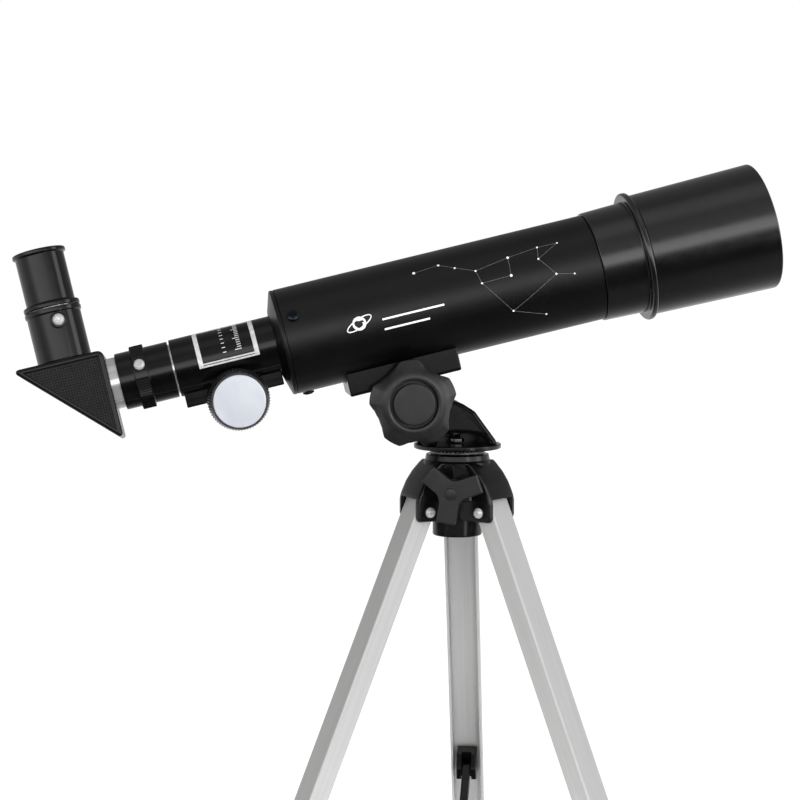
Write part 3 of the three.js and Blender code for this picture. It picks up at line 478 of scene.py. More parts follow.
def dot(shape, radius, s, u, size):
    """A round spot of print, where size is its radius."""
    sections = []
    for scale, lift in ((1, -0.05), (1, 0.02), (0.85, 0.035)):
        ring = [(s + size * scale * math.cos(a), u + size * scale * math.sin(a))
                for a in (2 * math.pi * k / 20 for k in range(20))]
        sections.append([on_round(radius, *p, lift) for p in ring])
    return shape.loft(sections)


STARS = [(-18.3, 20.4, 0.62), (-6.0, 21.6, 0.52), (1.0, 17.6, 0.42), (10.0, 13.3, 0.42), (11.3, 6.6, 0.42),
         (25.7, 6.9, 0.58), (26.6, 16.2, 0.58), (41.6, 18.0, 0.42), (51.4, 17.8, 0.36), (40.4, 11.7, 0.42),
         (46.8, 2.6, 0.42), (55.3, 0.7, 0.36), (23.2, -10.0, 0.42), (38.7, -16.2, 0.42)]
LINKS = [(0, 1), (1, 2), (2, 3), (3, 4), (4, 5), (5, 6), (3, 6), (6, 7), (7, 8), (7, 9), (8, 9), (9, 10),
         (10, 11), (10, 12), (4, 12), (12, 13)]
chart = Shape()
for i, j in LINKS:
    stroke(chart, tube_radius, STARS[i][:2], STARS[j][:2], 0.13)
piece("star_links", chart, "tube", grey_print, TUBE)
points = Shape()
for s, u, size in STARS:
    dot(points, tube_radius, s, u, size * 1.15)
piece("star_points", points, "tube", white_print, TUBE)

# A plain planet with a ring, and two bars, in the place of a badge.
badge = Shape()
BADGE_S, BADGE_U, BARS_S = -49.5, 1.8, -38.5
orbit = [(BADGE_S + 6.2 * math.cos(a), BADGE_U + 2.2 * math.sin(a) + 2.2 * math.cos(a))
         for a in (2 * math.pi * k / 48 for k in range(49))]
for start, end in zip(orbit, orbit[1:]):
    stroke(badge, tube_radius, start, end, 0.5)
dot(badge, tube_radius, BADGE_S, BADGE_U, 3.3)
for u, length in ((1.1, 30), (-3.7, 22)):
    stroke(badge, tube_radius, (BARS_S, u), (BARS_S + length, u), 0.9)
piece("planet_badge", badge, "tube", white_print, TUBE)


# ---- Focuser ----
housing = Shape().lathe([
    (12.4, -138, 0.3), (HOUSING_R, -138, 0.5), (HOUSING_R, -79.7), (17, -79.7), (17, -76.5), (12.4, -76.5),
], 96, ALONG_X)
rail = Shape().prism([
    (9, -6), (15.7, -6, 0.2), (15.9, -5.5), (16.5, -5.5), (16.7, -6, 0.2), (19.2, -6, 0.6),
    (19.2, 6, 0.6), (16.7, 6, 0.2), (16.5, 5.5), (15.9, 5.5), (15.7, 6, 0.2), (9, 6),
], softened(-136.6, -89.3, 0.5, steps=2), ALONG_X)
bore = Shape().lathe([(0, -141), (12.4, -141), (12.4, -70), (0, -70)], 96, ALONG_X)
slot = Shape().box(-141, -70, -3.7, 3.7, -17, -8)
window = Shape().box(SHAFT_STATION - 6.2, SHAFT_STATION + 6.2, -3.7, 3.7, -25, -15)
piece("focuser_housing_body", carved(carved(housing, rail, operation="UNION"), bore, slot, window), "tube",
      deep_black, TUBE, ["focuser_housing"], sharp=30)

# A printed frame, with a scale of longer and shorter ticks and a second row of every other tick.
frame_print = Shape()
REAR, FRONT, LOW, HIGH = -125.6, -98.6, -1.0, 20.5
for s in (REAR, FRONT):
    stroke(frame_print, housing_radius, (s, LOW - 1), (s, HIGH + 1), 2.1)
for u in (LOW, HIGH):
    stroke(frame_print, housing_radius, (REAR + 1, u), (FRONT - 1, u), 2.0)
for k in range(15):
    u = 3.0 + k * 1.15
    stroke(frame_print, housing_radius, (-105.2, u), (-105.2 - (3.2 if k % 5 == 0 else 1.9), u), 0.42)
    if k % 2 == 0:
        stroke(frame_print, housing_radius, (-112.6, u), (-114.2, u), 0.42)
piece("focuser_scale_frame", frame_print, "tube", silver_print, TUBE)

mid = SHAFT_STATION
SHAFT = move(mid, 0, -SHAFT_DROP) @ ALONG_NEAR
cover = Shape().prism([
    (mid - 14.5, -19.5), (mid - 14.5, -22.5, 1), (mid - 9, -22.5, 1.2), (mid - 7.4, -27.6, 1.8),
    (mid + 7.4, -27.6, 1.8), (mid + 9, -22.5, 1.2), (mid + 14.5, -22.5, 1), (mid + 14.5, -19.5),
], softened(-8, 8, 0.6), ALONG_NEAR)
pocket = Shape().lathe([(0, -3.6), (6.2, -3.6), (6.2, 3.6), (0, 3.6)], 40, SHAFT)
mouth = Shape().box(mid - 6.2, mid + 6.2, -3.6, 3.6, -SHAFT_DROP, -18)
shaft_bore = Shape().lathe([(0, -12), (2.1, -12), (2.1, 12), (0, 12)], 40, SHAFT)
cover = carved(cover, pocket, mouth, shaft_bore)
for side in (-1, 1):
    cover.lathe([(0, 0), (1.7, 0, 0.2), (1.7, 0.6, 0.3), (1, 1, 0.3), (0, 1)], 32,
                move(mid + side * 11.9, 0, -22.3) @ turn("X", 180))
piece("pinion_cover_block", cover, "tube", soft_black, TUBE, ["pinion_cover"])

FOCUS = TUBE @ move(SHAFT_STATION, 0, -SHAFT_DROP)
piece("focus_shaft_rod", Shape().lathe([(0, -24), (1.8, -24, 0.3), (1.8, 24, 0.3), (0, 24)], 40, ALONG_NEAR),
      "focus", chrome, FOCUS, ["focus_shaft"])
for side, name in ((1, "near"), (-1, "far")):
    face = ALONG_NEAR if side == 1 else turn("X", -90)
    knob = Shape().lathe([
        (0, 24.3), (2.1, 24.3), (2.1, 8.5, 0.2), (4.6, 8.5, 0.3), (4.6, 14.6, 0.6), (15, 14.6, 0.7),
        (15, 16.4), (13.5, 26.2, 0.3), (13.1, 27, 0.3), (12.5, 27, 0.2), (12.5, 25.9), (0, 25.9),
    ], 66 * 6, face, ridges(66, 0.6, 13.25))
    piece(f"focus_knob_grip_{name}", knob, "focus", knurl_black, FOCUS,
          [f"focus_knob_{name}"], 50)
    disc = Shape().lathe([(0, 26.1), (12.3, 26.1), (12.3, 26.9, 0.25), (11.8, 27.15, 0.4), (0, 27.3)], 96,
                         face)
    piece(f"focus_knob_disc_{name}", disc, "focus", spun_silver, FOCUS,
          [f"focus_inlay_{name}"])


# ---- Drawtube ----
def turned(name, corners, material, nodes, body, where=TUBE, place=ALONG_X, steps=96, wave=None):
    return piece(name, Shape().lathe(corners, steps, place, wave), body, material, where, nodes)


turned("drawtube_sleeve", [(11.2, -146.7), (12, -146.7, 0.2), (12, -46, 0.2), (11.2, -46)], chrome,
       ["drawtube"], "drawtube_body")
turned("drawtube_head_grip", [
    (12.55, -164.3, 0.2), (13.55, -164.3, 0.5), (13.55, -156.9, 0.2), (15.2, -156.9, 0.5),
    (15.2, -150.2, 0.5), (13.55, -150.2, 0.2), (13.55, -138.8, 0.4), (12.3, -138.8), (12.3, -147),
    (12.55, -147),
], deep_black, ["drawtube_head"], "drawtube_body", steps=480,
    wave=ridges(80, 0.35, 14.6, -156.6, -150.5, plain=(-115, 24)))


def thumb_screw(shank, low, top, head, height):
    return Shape().lathe([
        (0, low), (shank, low, 0.1), (shank, top), (head - 0.3, top, 0.15), (head, top + 0.4, 0.2),
        (head, top + height * 0.62, 0.4), (head * 0.62, top + height, 0.5), (head * 0.42, top + height, 0.15),
        (head * 0.38, top + height - 0.45, 0.1), (0, top + height - 0.5),
    ], 120, HERE, ridges(20, 0.18, head - 0.2))


piece("drawtube_thumb_screw", thumb_screw(1.3, 12.7, 15.5, 2.65, 2.4), "drawtube_lock", zinc,
      TUBE @ move(-153.5, 0, 0) @ turn("X", 65), ["drawtube_lock_screw"], 50)


# ---- Saddle under the tube ----
saddle = Shape()
cradle = [(math.sqrt(26.05 ** 2 - y * y), y) for y in (15.4 - 30.8 * k / 24 for k in range(25))]
saddle.prism(cradle + [(32, -15.4, 1.5), (32, 15.4, 1.5)], softened(-60.5, -6, 0.7), ALONG_X)
EAR = -33.5
saddle.prism([(EAR - 13, -30), (EAR - 8.4, -41.2), *arc(EAR, -41.2, 8.4, 200, 340, 14), (EAR + 8.4, -41.2),
              (EAR + 13, -30)], softened(-9.5, 9.5, 0.7), ALONG_NEAR)
piece("saddle_cradle", saddle, "tube", soft_black, TUBE, ["saddle_block"])


# ---- Star diagonal and eyepiece ----
PRISM = [(-168.5, 15.8, 3.0), (-211.9, 15.8, 1.4), (-168.5, -27.6, 1.4)]
half_levels = [(0.25, 0.15), (0, 0.4), (0, 13.6)]
half_levels += [(1.4 * (1 - math.cos(a)), 13.6 + 1.4 * math.sin(a)) for a in (0.3, 0.6, 0.9, 1.2, 1.57)]
half_levels += [(2.0, 15), (2.25, 14.9), (2.4, 14.6), (2.45, 14.3)]
PANEL_CORNER, PANEL_PITCH, PANEL_CELLS, PANEL_RELIEF = (-170.7, 13.6), 1.25, 30, 0.3


def hatched_panel(height):
    """A right triangle of small pyramids, four steps wide, with its right angle in the outline's."""
    step = PANEL_PITCH / 4
    n = PANEL_CELLS * 4
    index, verts, faces = {}, [], []
    for i in range(n + 1):
        for j in range(n + 1 - i):
            peak = min(abs((i % 4) - 2), abs((j % 4) - 2)) / 2
            edge = i == 0 or j == 0 or i + j == n
            index[i, j] = len(verts)
            lift = 0 if edge else PANEL_RELIEF * (1 - peak)
            verts.append((PANEL_CORNER[0] - i * step, PANEL_CORNER[1] - j * step, height + lift))
    for i in range(n):
        for j in range(n - i):
            a, b, c = index[i, j], index[i + 1, j], index[i, j + 1]
            if (i + 1, j + 1) in index:
                faces.append([a, b, index[i + 1, j + 1], c])
            else:
                faces.append([a, b, c])
    rim = [index[i, 0] for i in range(n)]
    rim += [index[n - j, j] for j in range(n)]
    rim += [index[0, n - k] for k in range(n)]
    under = {}
    for v in rim:
        under[v] = len(verts)
        verts.append((verts[v][0], verts[v][1], height - 0.3))
    for a, b in zip(rim, rim[1:] + rim[:1]):
        faces.append([b, a, under[a], under[b]])
    faces.append([under[v] for v in rim])
    return verts, faces


for side, name in ((1, "near"), (-1, "far")):
    face = ALONG_NEAR if side == 1 else ALONG_NEAR @ Matrix.Scale(-1, 4, (0, 0, 1))
    piece(f"diagonal_half_{name}", Shape().prism(PRISM, half_levels, face), "diagonal", soft_black, DIAGONAL,
          [f"diagonal_shell_{name}"])
    piece(f"diagonal_panel_{name}", Shape().add(*hatched_panel(14.35), face), "diagonal", hatch_black,
          DIAGONAL, sharp=20)
turned("diagonal_barrel_sleeve", [(11.3, -171.5), (12.95, -171.5), (12.95, -170.6), (12.25, -170.6),
                                  (12.25, -148, 0.4), (11.3, -148)],
       chrome, ["diagonal_barrel"], "diagonal", DIAGONAL)

EYE = DIAGONAL @ move(EYE_STATION, 0, 0)
SOCKET_SCREW = turn("Z", 9.5) @ move(0, 0, 34.2) @ ALONG_NEAR
socket = Shape().lathe([
    (10.6, 13), (12.9, 13), (12.9, 13.7), (11.8, 13.7), (11.8, 16.1), (12.85, 16.1, 0.3),
    (12.85, 38.4, 0.3), (13.45, 38.7, 0.5), (13.45, 41, 0.8), (12.3, 41, 0.2), (12.3, 17.3), (10.6, 17.3),
], 96)
socket.lathe([(1.6, 12.45), (3.9, 12.45), (3.9, 14.2, 0.6), (1.6, 14.2, 0.2)], 48, SOCKET_SCREW)
piece("eyepiece_socket_sleeve", socket, "diagonal", deep_black, EYE, ["eyepiece_socket"])
piece("eyepiece_thumb_screw", thumb_screw(1.3, 12.2, 14.5, 2.8, 2.3), "eyepiece_lock", zinc,
      EYE @ SOCKET_SCREW, ["eyepiece_lock_screw"], 50)
turned("eyepiece_barrel_sleeve", [(11.1, 17.8), (11.95, 17.8, 0.3), (11.95, 43.3), (11.1, 43.3)], chrome,
       ["eyepiece_barrel"], "eyepiece", EYE, HERE)
turned("eyepiece_housing", [
    (12.25, 41.3), (13.4, 41.3, 0.7), (13.4, 43.6, 1.0), (11.6, 44.2, 0.3), (11.6, 67, 0.3),
    (12.7, 67.5, 0.4), (12.7, 69.4, 0.7), (11.2, 69.4, 0.4), (6.6, 65.6, 0.3), (6.6, 64.9), (7.5, 64.9),
    (7.5, 59.8), (10, 59.8), (10, 43.6), (12.25, 43.6),
], deep_black, ["eyepiece_body"], "eyepiece", EYE, HERE)
lens("eyepiece_eye_lens", 7.2, (60.4, 61.4), (64.3, 63), 0, "eye_lens", EYE, "eyepiece", HERE)
lens("eyepiece_field_lens", 10.8, (34, 34), (37.8, 35.8), 0, "field_lens", EYE, "eyepiece", HERE)


# ---- Pan bracket and tilt clamp ----
SIDE_ARM = [(17.8, 1, 0.3), (16.6, 4.1, 2), (6.6, 17.8, 3), (1, 21.4, 4), (-3.3, 23.1, 4), (-12, 26.2, 4),
            (-21.7, 30.75, 3), *arc(-24.7, 22.65, 8.4, 85, 200, 12), (-17.5, 1)]
ARCH = [(-12, 1), (-11, 5, 1), (-8, 7, 2), (-2.3, 7.5, 3), (3.5, 7.2, 3), (9.3, 6.2, 2), (12, 4.2, 1),
        (12.8, 1)]
bracket = Shape()
for side, outline in ((1, SIDE_ARM + ARCH), (-1, SIDE_ARM)):
    face = ALONG_NEAR if side == 1 else ALONG_NEAR @ Matrix.Scale(-1, 4, (0, 0, 1))
    bracket.prism(outline, [(0.3, 10), (0, 10.3), (0, 12), (0.1, 12.25), (1.35, 13.5), (1.6, 13.6),
                            (1.75, 13.5), (1.9, 13.1), (1.95, 12.6)], face)
    bracket.lathe([(2.8, 10.5), (6.4, 10.5), (6.4, 13.6, 0.4), (2.8, 13.6, 0.2)], 64,
                  move(-24.7, 0, 22.65) @ face)
bracket.prism([(17.6, 1), (16.5, 4.0, 2), (6.5, 17.7, 3), (0.9, 21.3, 4), (-3.4, 23, 4), (-9.5, 25.2),
               (-9.5, 21.6), (-3.8, 19.8, 3), (4.4, 15.4, 3), (13.4, 3.5, 1), (13.6, 1)],
              softened(-10.4, 10.4, 0.1, steps=1), ALONG_NEAR)
bracket.lathe([(1.9, -23.6), (8, -23.6, 0.4), (8, -0.9, 0.3), (21.2, -0.9, 0.8), (21.2, 1.45, 0.6),
               (1.9, 1.45)], 128)
piece("pan_bracket_arms", bracket, "mount", soft_black, STAND, ["pan_bracket"])
piece("pan_washer_ring", Shape().lathe([
    (8.3, -3.3), (13.3, -3.3, 0.4), (13.3, -2.2, 0.3), (12.9, -2.2), (12.9, -1.2, 0.2), (8.3, -1.2),
], 240, HERE, ridges(40, 0.5, 12.6, -2.15, -1)), "mount", dull_steel, STAND, ["pan_washer"])

bolt_line = [(0, -31)]
for k in range(46):
    z = -31 + k * 0.82
    bolt_line += [(1.25, z), (1.5, z + 0.4)]
bolt = Shape().lathe(bolt_line + [(1.2, 6.9), (0, 7)], 32)
HEX = [(3.3 * math.cos(math.radians(60 * k)), 3.3 * math.sin(math.radians(60 * k)), 0.15) for k in range(6)]
bolt.prism(HEX, softened(1.9, 3.8, 0.35, steps=2))
bolt.prism([(x * 0.75, y * 0.75, r) for x, y, r in HEX], softened(5.7, 7.6, 0.3, steps=2), turn("Z", 20))
bolt.prism(HEX, softened(-29.6, -27.3, 0.35, steps=2))
piece("azimuth_bolt_threaded", bolt, "mount", dull_steel, STAND, ["azimuth_bolt"])

tilt_bolt = Shape().lathe([(0, -15.6), (2.5, -15.6, 0.2), (2.5, 24, 0.4), (0, 24)], 40, ALONG_NEAR)
tilt_bolt.prism([(x * 1.5, y * 1.5, 0.2) for x, y, _ in HEX], softened(-17.2, -13.9, 0.5, steps=3),
                ALONG_NEAR)
piece("altitude_bolt_hex", tilt_bolt, "mount", chrome, PIVOT, ["altitude_bolt"])

LOBE = ((-11.5, 21, 0.8), (11.5, 21, 0.8), (22.5, 18.6, 8), (36, 17.7, 8), (49.5, 18.6, 8))
STAR_R, STAR_ROUND_R, FIRST_LOBE = 21, 12, 24
corners = []
for k in range(5):
    for degrees, r, rounding in LOBE:
        a = math.radians(FIRST_LOBE + 72 * k + degrees)
        corners.append((r * math.cos(a), r * math.sin(a), rounding))
RIM = sorted((math.atan2(y, x), math.hypot(x, y)) for x, y in rounded(corners))


def star(angle, r, _height):
    """Spreads the knob's round face out to five flat-tipped lobes at its rim."""
    if r < STAR_ROUND_R:
        return r
    reach = np.interp(angle, [a for a, _ in RIM], [d for _, d in RIM], period=2 * math.pi)
    return r - (STAR_R - reach) * ((r - STAR_ROUND_R) / (STAR_R - STAR_ROUND_R)) ** 2.6


piece("altitude_knob_star", Shape().lathe([
    (0, 24.3), (2.8, 24.3), (2.8, 13.9, 0.2), (9, 13.9, 0.5), (9, 19.6, 1), (19.4, 19.6, 1.2), (20.6, 21, 1),
    (21, 25.2, 0.5), (19.8, 25.7, 1.5), (17.6, 26.8, 4), (15, 28.7, 5), (12.6, 29.1, 1.5), (11.4, 28.8, 0.4),
    (11.4, 24.9, 0.2), (0, 24.9),
], 360, ALONG_NEAR, star), "altitude_clamp", matt_grey, PIVOT, ["altitude_knob"], 50)
piece("altitude_knob_centre", Shape().lathe([
    (0, 25), (9.9, 25, 0.2), (9.9, 29.2, 0.35), (9.3, 29.4, 0.5), (0, 29.5),
], 96, ALONG_NEAR), "altitude_clamp", matt_grey, PIVOT, ["altitude_knob_cap"])


# ---- Tripod hub ----
HOOD = [(5, -6.1), (14.3, -6.1), (15.8, -7.4, 3), (19.7, -11.4, 8), (23.2, -16.4, 12), (26, -22.6, 10),
        (26.6, -25.5, 1), (26.6, -32.6, 1.2), (25.4, -35.2, 2.2), (9, -35.2, 0.5), (5, -25)]
HOOD_LEVELS = [(1.5, 11.3), (0.95, 11.15), (0.65, 10.7), (0.4, 9.6), (0.22, 8), (0.08, 5), (0, 2)]
HOOD_LEVELS = [(inset, -h) for inset, h in HOOD_LEVELS] + HOOD_LEVELS[::-1]
hub = Shape().lathe([
    (1.9, -24), (8.3, -24), (8.3, -3.6, 0.3), (15.2, -3.6, 0.4), (15.7, -6.1, 0.3), (16.4, -7.1, 1),
    (18.6, -13, 6), (19.4, -18, 5), (19.4, -25, 0.6), (12, -25, 1), (12, -43.2, 0.8), (8.6, -43.2, 0.5),
    (8.6, -27), (1.9, -27),
], 128)
hood_slot = Shape().prism([(12, -60), (40, -60), (40, -23.7), (24.2, -23.7), (24.2, -22.2), (12, -22.2)],
                          [(0, -8.6), (0, 8.6)], ALONG_NEAR)
hood = carved(Shape().prism(HOOD, HOOD_LEVELS, ALONG_NEAR), hood_slot)
for azimuth in LEG_AZIMUTHS:
    hub.add(hood.verts, hood.faces, turn("Z", azimuth))
NOSE = [(-7.5, 18, -10.8), (-0.3, 19.45, -7.2), (0, 19.6, -7), (0.3, 19.45, -7.2), (7.5, 18, -10.8)]
hub.loft([[(8, y, top), (front, y, top), (front, y, -24), (8, y, -24)] for y, front, top in NOSE],
         turn("Z", LOCK_AZIMUTH))
hub.lathe([(2.3, 15), (6.6, 15), (5.6, 20.9, 0.5), (2.3, 20.9)], 48,
          turn("Z", LOCK_AZIMUTH) @ move(0, 0, LOCK_Z) @ ALONG_X)
piece("tripod_hub_body", hub, "tripod", soft_black, STAND, ["tripod_hub"])

wing_corners = []
for k in range(3):
    for x, y, r in ((14.4, -4.6, 0.7), (14.4, 4.6, 0.7), (2.656, 4.6, 6)):
        a = math.radians(20 + 120 * k)
        wing_corners.append((x * math.cos(a) - y * math.sin(a), x * math.sin(a) + y * math.cos(a), r))
lock = Shape().prism(wing_corners, softened(25.2, 29.6, 0.6))
lock.lathe([(0, 21.2), (6.2, 21.2, 0.5), (6.4, 26, 0.4), (0, 26)], 64)
lock.lathe([(0, 28), (3.3, 28), (3.3, 29.7, 0.1), (2.9, 29.75, 0.1), (2.75, 29.4, 0.1), (2.6, 29.5),
            (2.5, 30.2, 0.3), (0, 30.35)], 48)
lock.lathe([(0, 8.4), (2, 8.4, 0.2), (2, 23), (0, 23)], 32)
piece("azimuth_lock_wings", lock, "azimuth_lock", matt_grey,
      STAND @ turn("Z", LOCK_AZIMUTH) @ move(0, 0, LOCK_Z) @ turn("X", 90) @ turn("Y", 90),
      ["azimuth_lock_knob"])


# ---- Legs and brace ----
channel = Shape().prism([
    (-3.9, -8.25, 0.3), (5.5, -8.25, 1.1), (5.5, 8.25, 1.1), (-3.9, 8.25, 0.3), (-3.9, 7.05, 0.3),
    (4.3, 7.05, 0.3), (4.3, -7.05, 0.3), (-3.9, -7.05, 0.3),
], softened(-300, 4.5, 0.15, steps=1))
dome_bolt = Shape().lathe([
    (0, -13.6), (1.3, -13.5, 0.8), (2.5, -12.3, 0.6), (2.5, -11.6, 0.15), (1.6, -11.6), (1.6, 11.6),
    (2.5, 11.6, 0.15), (2.5, 12.3, 0.6), (1.3, 13.5, 0.8), (0, 13.6),
], 48, ALONG_NEAR)

tilt, slope = math.radians(LEG_TILT), math.radians(BRACE_SLOPE)
outer_r = HINGE_R + BRACE_DOWN * math.sin(tilt) + BRACE_IN * math.cos(tilt)
outer_z = HINGE_Z - BRACE_DOWN * math.cos(tilt) + BRACE_IN * math.sin(tilt)
arm_length = (outer_r - BRACE_HUB_R) / math.cos(slope)
hub_z = outer_z - arm_length * math.sin(slope)

bracket_block = carved(Shape().prism([
    (4, 8, 0.3), (-3.5, 8, 1.5), (-10, 3.5, 2), (-10.6, 0, 2), (-10, -3.5, 2), (-3.5, -8, 1.5), (4, -8, 0.3),
], softened(-5.2, 5.2, 0.5, steps=3), ALONG_NEAR), Shape().box(-20, -1.5, -2.6, 2.6, -15, 15))

BAR = [(-3.4, -3.4, 3.3), (arm_length + 3.4, -3.4, 3.3), (arm_length + 3.4, 3.4, 3.3), (-3.4, 3.4, 3.3)]
GROOVE = [(7, -1.8, 1.2), (arm_length - 7, -1.8, 1.2), (arm_length - 7, 1.8, 1.2), (7, 1.8, 1.2)]
grooves = [Shape().prism(GROOVE, [(0, h - 0.9), (0, h + 0.9)], ALONG_NEAR) for h in (-2, 2)]
arm_bar = carved(Shape().prism(BAR, softened(-2, 2, 0.4, steps=3), ALONG_NEAR), *grooves)
arm_bar.lathe([(0, -3.1), (1.4, -3.1, 0.2), (1.4, 3.1, 0.2), (0, 3.1)], 32, ALONG_NEAR)
arm_bar.lathe([(0, -4.9), (1.5, -4.9, 0.2), (1.5, 4.9, 0.2), (0, 4.9)], 32,
              move(arm_length, 0, 0) @ ALONG_NEAR)

hub_disc = Shape().lathe([
    (0, -4), (6, -4, 0.3), (6.8, -3.2, 0.3), (11, -3.2, 0.3), (11.8, -4, 0.3), (14, -4, 1), (14, 4, 1),
    (11.8, 4, 0.3), (11, 3.2, 0.3), (6.8, 3.2, 0.3), (6, 4, 0.3), (0, 4),
], 96)
for azimuth in LEG_AZIMUTHS:
    hub_disc = carved(hub_disc, Shape().box(3.9, 20, -3.5, 3.5, -8, 8, turn("Z", azimuth)))
piece("brace_hub_disc", hub_disc, "brace_hub_body", soft_black, STAND @ move(0, 0, hub_z), ["brace_hub"])


def boot(leg):
    """A ribbed rubber boot whose sole lies flat on the floor."""
    corners = [(-6.1, -10.2, 2.4), (7.7, -10.2, 2.4), (7.7, 10.2, 2.4), (-6.1, 10.2, 2.4)]
    levels = [(0.9, -286), (0.35, -286.15), (0.05, -286.6), (0, -287.5)]
    for k in range(4):
        z = -288.6 - k * 2.4
        levels += [(0, z), (0.55, z - 0.3), (0.55, z - 0.8), (0, z - 1.1)]
    height = leg.to_translation().z
    sections = [[(x, y, z) for x, y in rounded(corners, inset)] for inset, z in levels]
    for inset, lift in ((0, 1.2), (0.25, 0.4), (0.7, 0)):
        sole = rounded(corners, inset)
        sections.append([(x, y, (lift - height - x * leg[2][0]) / leg[2][2]) for x, y in sole])
    return Shape().loft(sections)


# The end of a leg stands in a well in its boot, and a core of rubber fills the channel.
well = Shape().box(-4.2, 5.8, -8.55, 8.55, -300.3, -280)
core = Shape().box(-4.2, 4.0, -6.75, 6.75, -301, -287)
for k, (plane, hinge, leg) in enumerate(zip(LEG_PLANES, HINGES, LEGS), 1):
    body = f"leg_{k}_body"
    piece(f"leg_channel_{k}", channel, body, aluminium, leg, [f"leg_{k}"])
    boot_shape = carved(boot(leg), well)
    boot_shape.add(core.verts, core.faces)
    piece(f"rubber_boot_{k}", boot_shape, body, foot_rubber, leg, [f"leg_foot_{k}"])
    piece(f"brace_lug_{k}", bracket_block, body, soft_black, leg @ move(0, 0, -BRACE_DOWN),
          [f"brace_bracket_{k}"])
    piece(f"hinge_bolt_{k}", dome_bolt, "tripod", zinc, hinge, [f"leg_hinge_bolt_{k}"])
    piece(f"brace_link_{k}", arm_bar, f"brace_arm_{k}_body", soft_black,
          plane @ move(BRACE_HUB_R, 0, hub_z) @ turn("Y", -BRACE_SLOPE), [f"brace_arm_{k}"])


# ---- CAD nodes that stay, with their own finish ----
for name, material in (("tube_baffle", inner_black), ("focus_pinion", chrome), ("focus_rack", black_metal),
                       ("diagonal_mirror", mirror_glass)):
    node = frame["nodes"][name]
    node.data.materials.clear()
    node.data.materials.append(material)


# ---- Stage ----
def glow(name, size, place, aim, power, color=(1, 1, 1), reflected=False):
    """A soft rectangle of light that is felt by matt surfaces, or else only reflected in glossy ones."""
    light = bpy.data.lights.new(name, "AREA")
    light.shape = "RECTANGLE"
    light.size, light.size_y = size
    light.energy = power
    light.color = color
    lamp = bpy.data.objects.new(name, light)
    bpy.context.scene.collection.objects.link(lamp)
    lamp.location = place
    lamp.rotation_euler = (Vector(aim) - Vector(place)).to_track_quat("-Z", "Y").to_euler()
    lamp.visible_camera = False
    lamp.visible_glossy = reflected
    lamp.visible_diffuse = not reflected
    return lamp


floor_data = bpy.data.meshes.new("floor")
floor_data.from_pydata([(-30, -30, 0), (30, -30, 0), (30, 30, 0), (-30, 30, 0)], [], [(0, 1, 2, 3)])
floor_data.materials.append(surface("pale_floor", (0.89, 0.89, 0.89), (0.91, 0.91, 0.91), (0.7, 0.8), patch=3,
                                    grain=300, relief=0.01, Specular_IOR_Level=0.0))
floor = bpy.data.objects.new("floor", floor_data)
bpy.context.scene.collection.objects.link(floor)
floor.location.z = -0.0004
floor.visible_glossy = False

TARGET = (0, 0, 0.38)
glow("front_softbox", (2.6, 2.8), (0.15, -2.0, 0.5), TARGET, 42)
glow("low_fill", (0.8, 0.6), (0.9, -1.3, 0.12), (0, 0.05, 0.15), 6.5, (0.86, 0.93, 1.0))
glow("inner_leg_fill", (0.16, 0.08), (0.03, -0.12, 0.012), (0.035, 0.13, 0.2), 0.55)
glow("right_strip", (0.8, 2.0), (1.93, -0.55, 0.95), TARGET, 8, reflected=True)
glow("near_strip", (0.2, 1.2), (1.05, -1.75, 0.45), TARGET, 3.4, reflected=True)

# Surroundings: white to the camera, brighter on the right for matt surfaces, and for reflections these
# brightnesses by height, from straight down at -1 to straight up at 1, in front of and behind the object.
FRONT_GLOSS = [(-1, 0.05), (-0.3, 0.03), (-0.1, 0.14), (0, 0.9), (0.06, 1.9), (0.3, 1.5), (0.4, 0.4),
               (0.8, 0.3), (1, 0.9)]
BACK_GLOSS = [(-1, 0.02), (-0.75, 0.4), (-0.3, 0.9), (0, 0.7), (0.2, 0.34), (0.5, 0.25), (1, 0.18)]

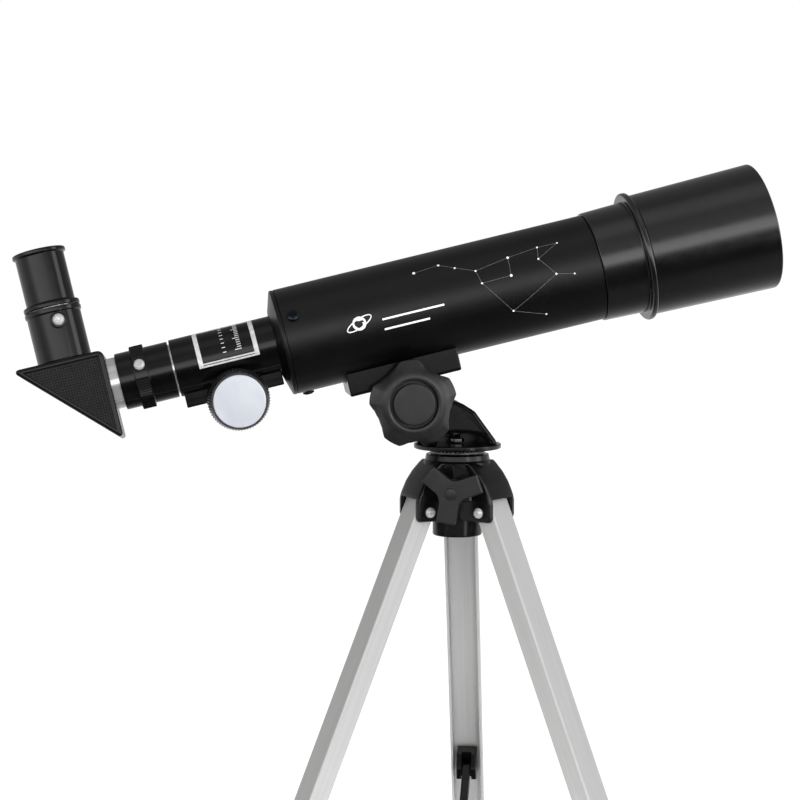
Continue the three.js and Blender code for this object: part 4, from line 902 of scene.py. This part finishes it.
world = bpy.data.worlds.new("studio")
bpy.context.scene.world = world
world.use_nodes = True
wn, wl = world.node_tree.nodes, world.node_tree.links
wn.clear()
out = wn.new("ShaderNodeOutputWorld")
seen, reflected = wn.new("ShaderNodeBackground"), wn.new("ShaderNodeBackground")
choose, path = wn.new("ShaderNodeMixShader"), wn.new("ShaderNodeLightPath")
across, strength = wn.new("ShaderNodeMapRange"), wn.new("ShaderNodeMix")
direction, axes = wn.new("ShaderNodeTexCoord"), wn.new("ShaderNodeSeparateXYZ")
wl.new(direction.outputs["Generated"], axes.inputs["Vector"])
across.inputs["From Min"].default_value = -1
across.inputs["To Min"].default_value = 0.55
across.inputs["To Max"].default_value = 1.85
wl.new(axes.outputs["X"], across.inputs["Value"])
strength.inputs["A"].default_value = 1.0
wl.new(across.outputs["Result"], strength.inputs["B"])
wl.new(path.outputs["Is Diffuse Ray"], strength.inputs["Factor"])
wl.new(strength.outputs["Result"], seen.inputs["Strength"])
seen.inputs["Color"].default_value = (1, 1, 1, 1)


def by_height(steps):
    """A colour ramp over the height of the direction, through (height, brightness) steps."""
    shift, ramp = wn.new("ShaderNodeMapRange"), wn.new("ShaderNodeValToRGB")
    shift.inputs["From Min"].default_value = -1
    wl.new(axes.outputs["Z"], shift.inputs["Value"])
    wl.new(shift.outputs["Result"], ramp.inputs["Fac"])
    elements = ramp.color_ramp.elements
    while len(elements) < len(steps):
        elements.new(0.5)
    for element, (height, value) in zip(elements, steps):
        element.position = height / 2 + 0.5
        element.color = (value, value, value, 1)
    return ramp.outputs["Color"]


side, blend = wn.new("ShaderNodeMapRange"), wn.new("ShaderNodeMix")
side.inputs["From Min"].default_value = -0.7
side.inputs["From Max"].default_value = 0.1
blend.data_type = "RGBA"
wl.new(axes.outputs["Y"], side.inputs["Value"])
wl.new(side.outputs["Result"], blend.inputs["Factor"])
wl.new(by_height(FRONT_GLOSS), blend.inputs["A"])
wl.new(by_height(BACK_GLOSS), blend.inputs["B"])
wl.new(blend.outputs["Result"], reflected.inputs["Color"])
wl.new(path.outputs["Is Glossy Ray"], choose.inputs["Fac"])
wl.new(seen.outputs["Background"], choose.inputs[1])
wl.new(reflected.outputs["Background"], choose.inputs[2])
wl.new(choose.outputs["Shader"], out.inputs["Surface"])
bpy.context.scene.view_settings.view_transform = "Standard"
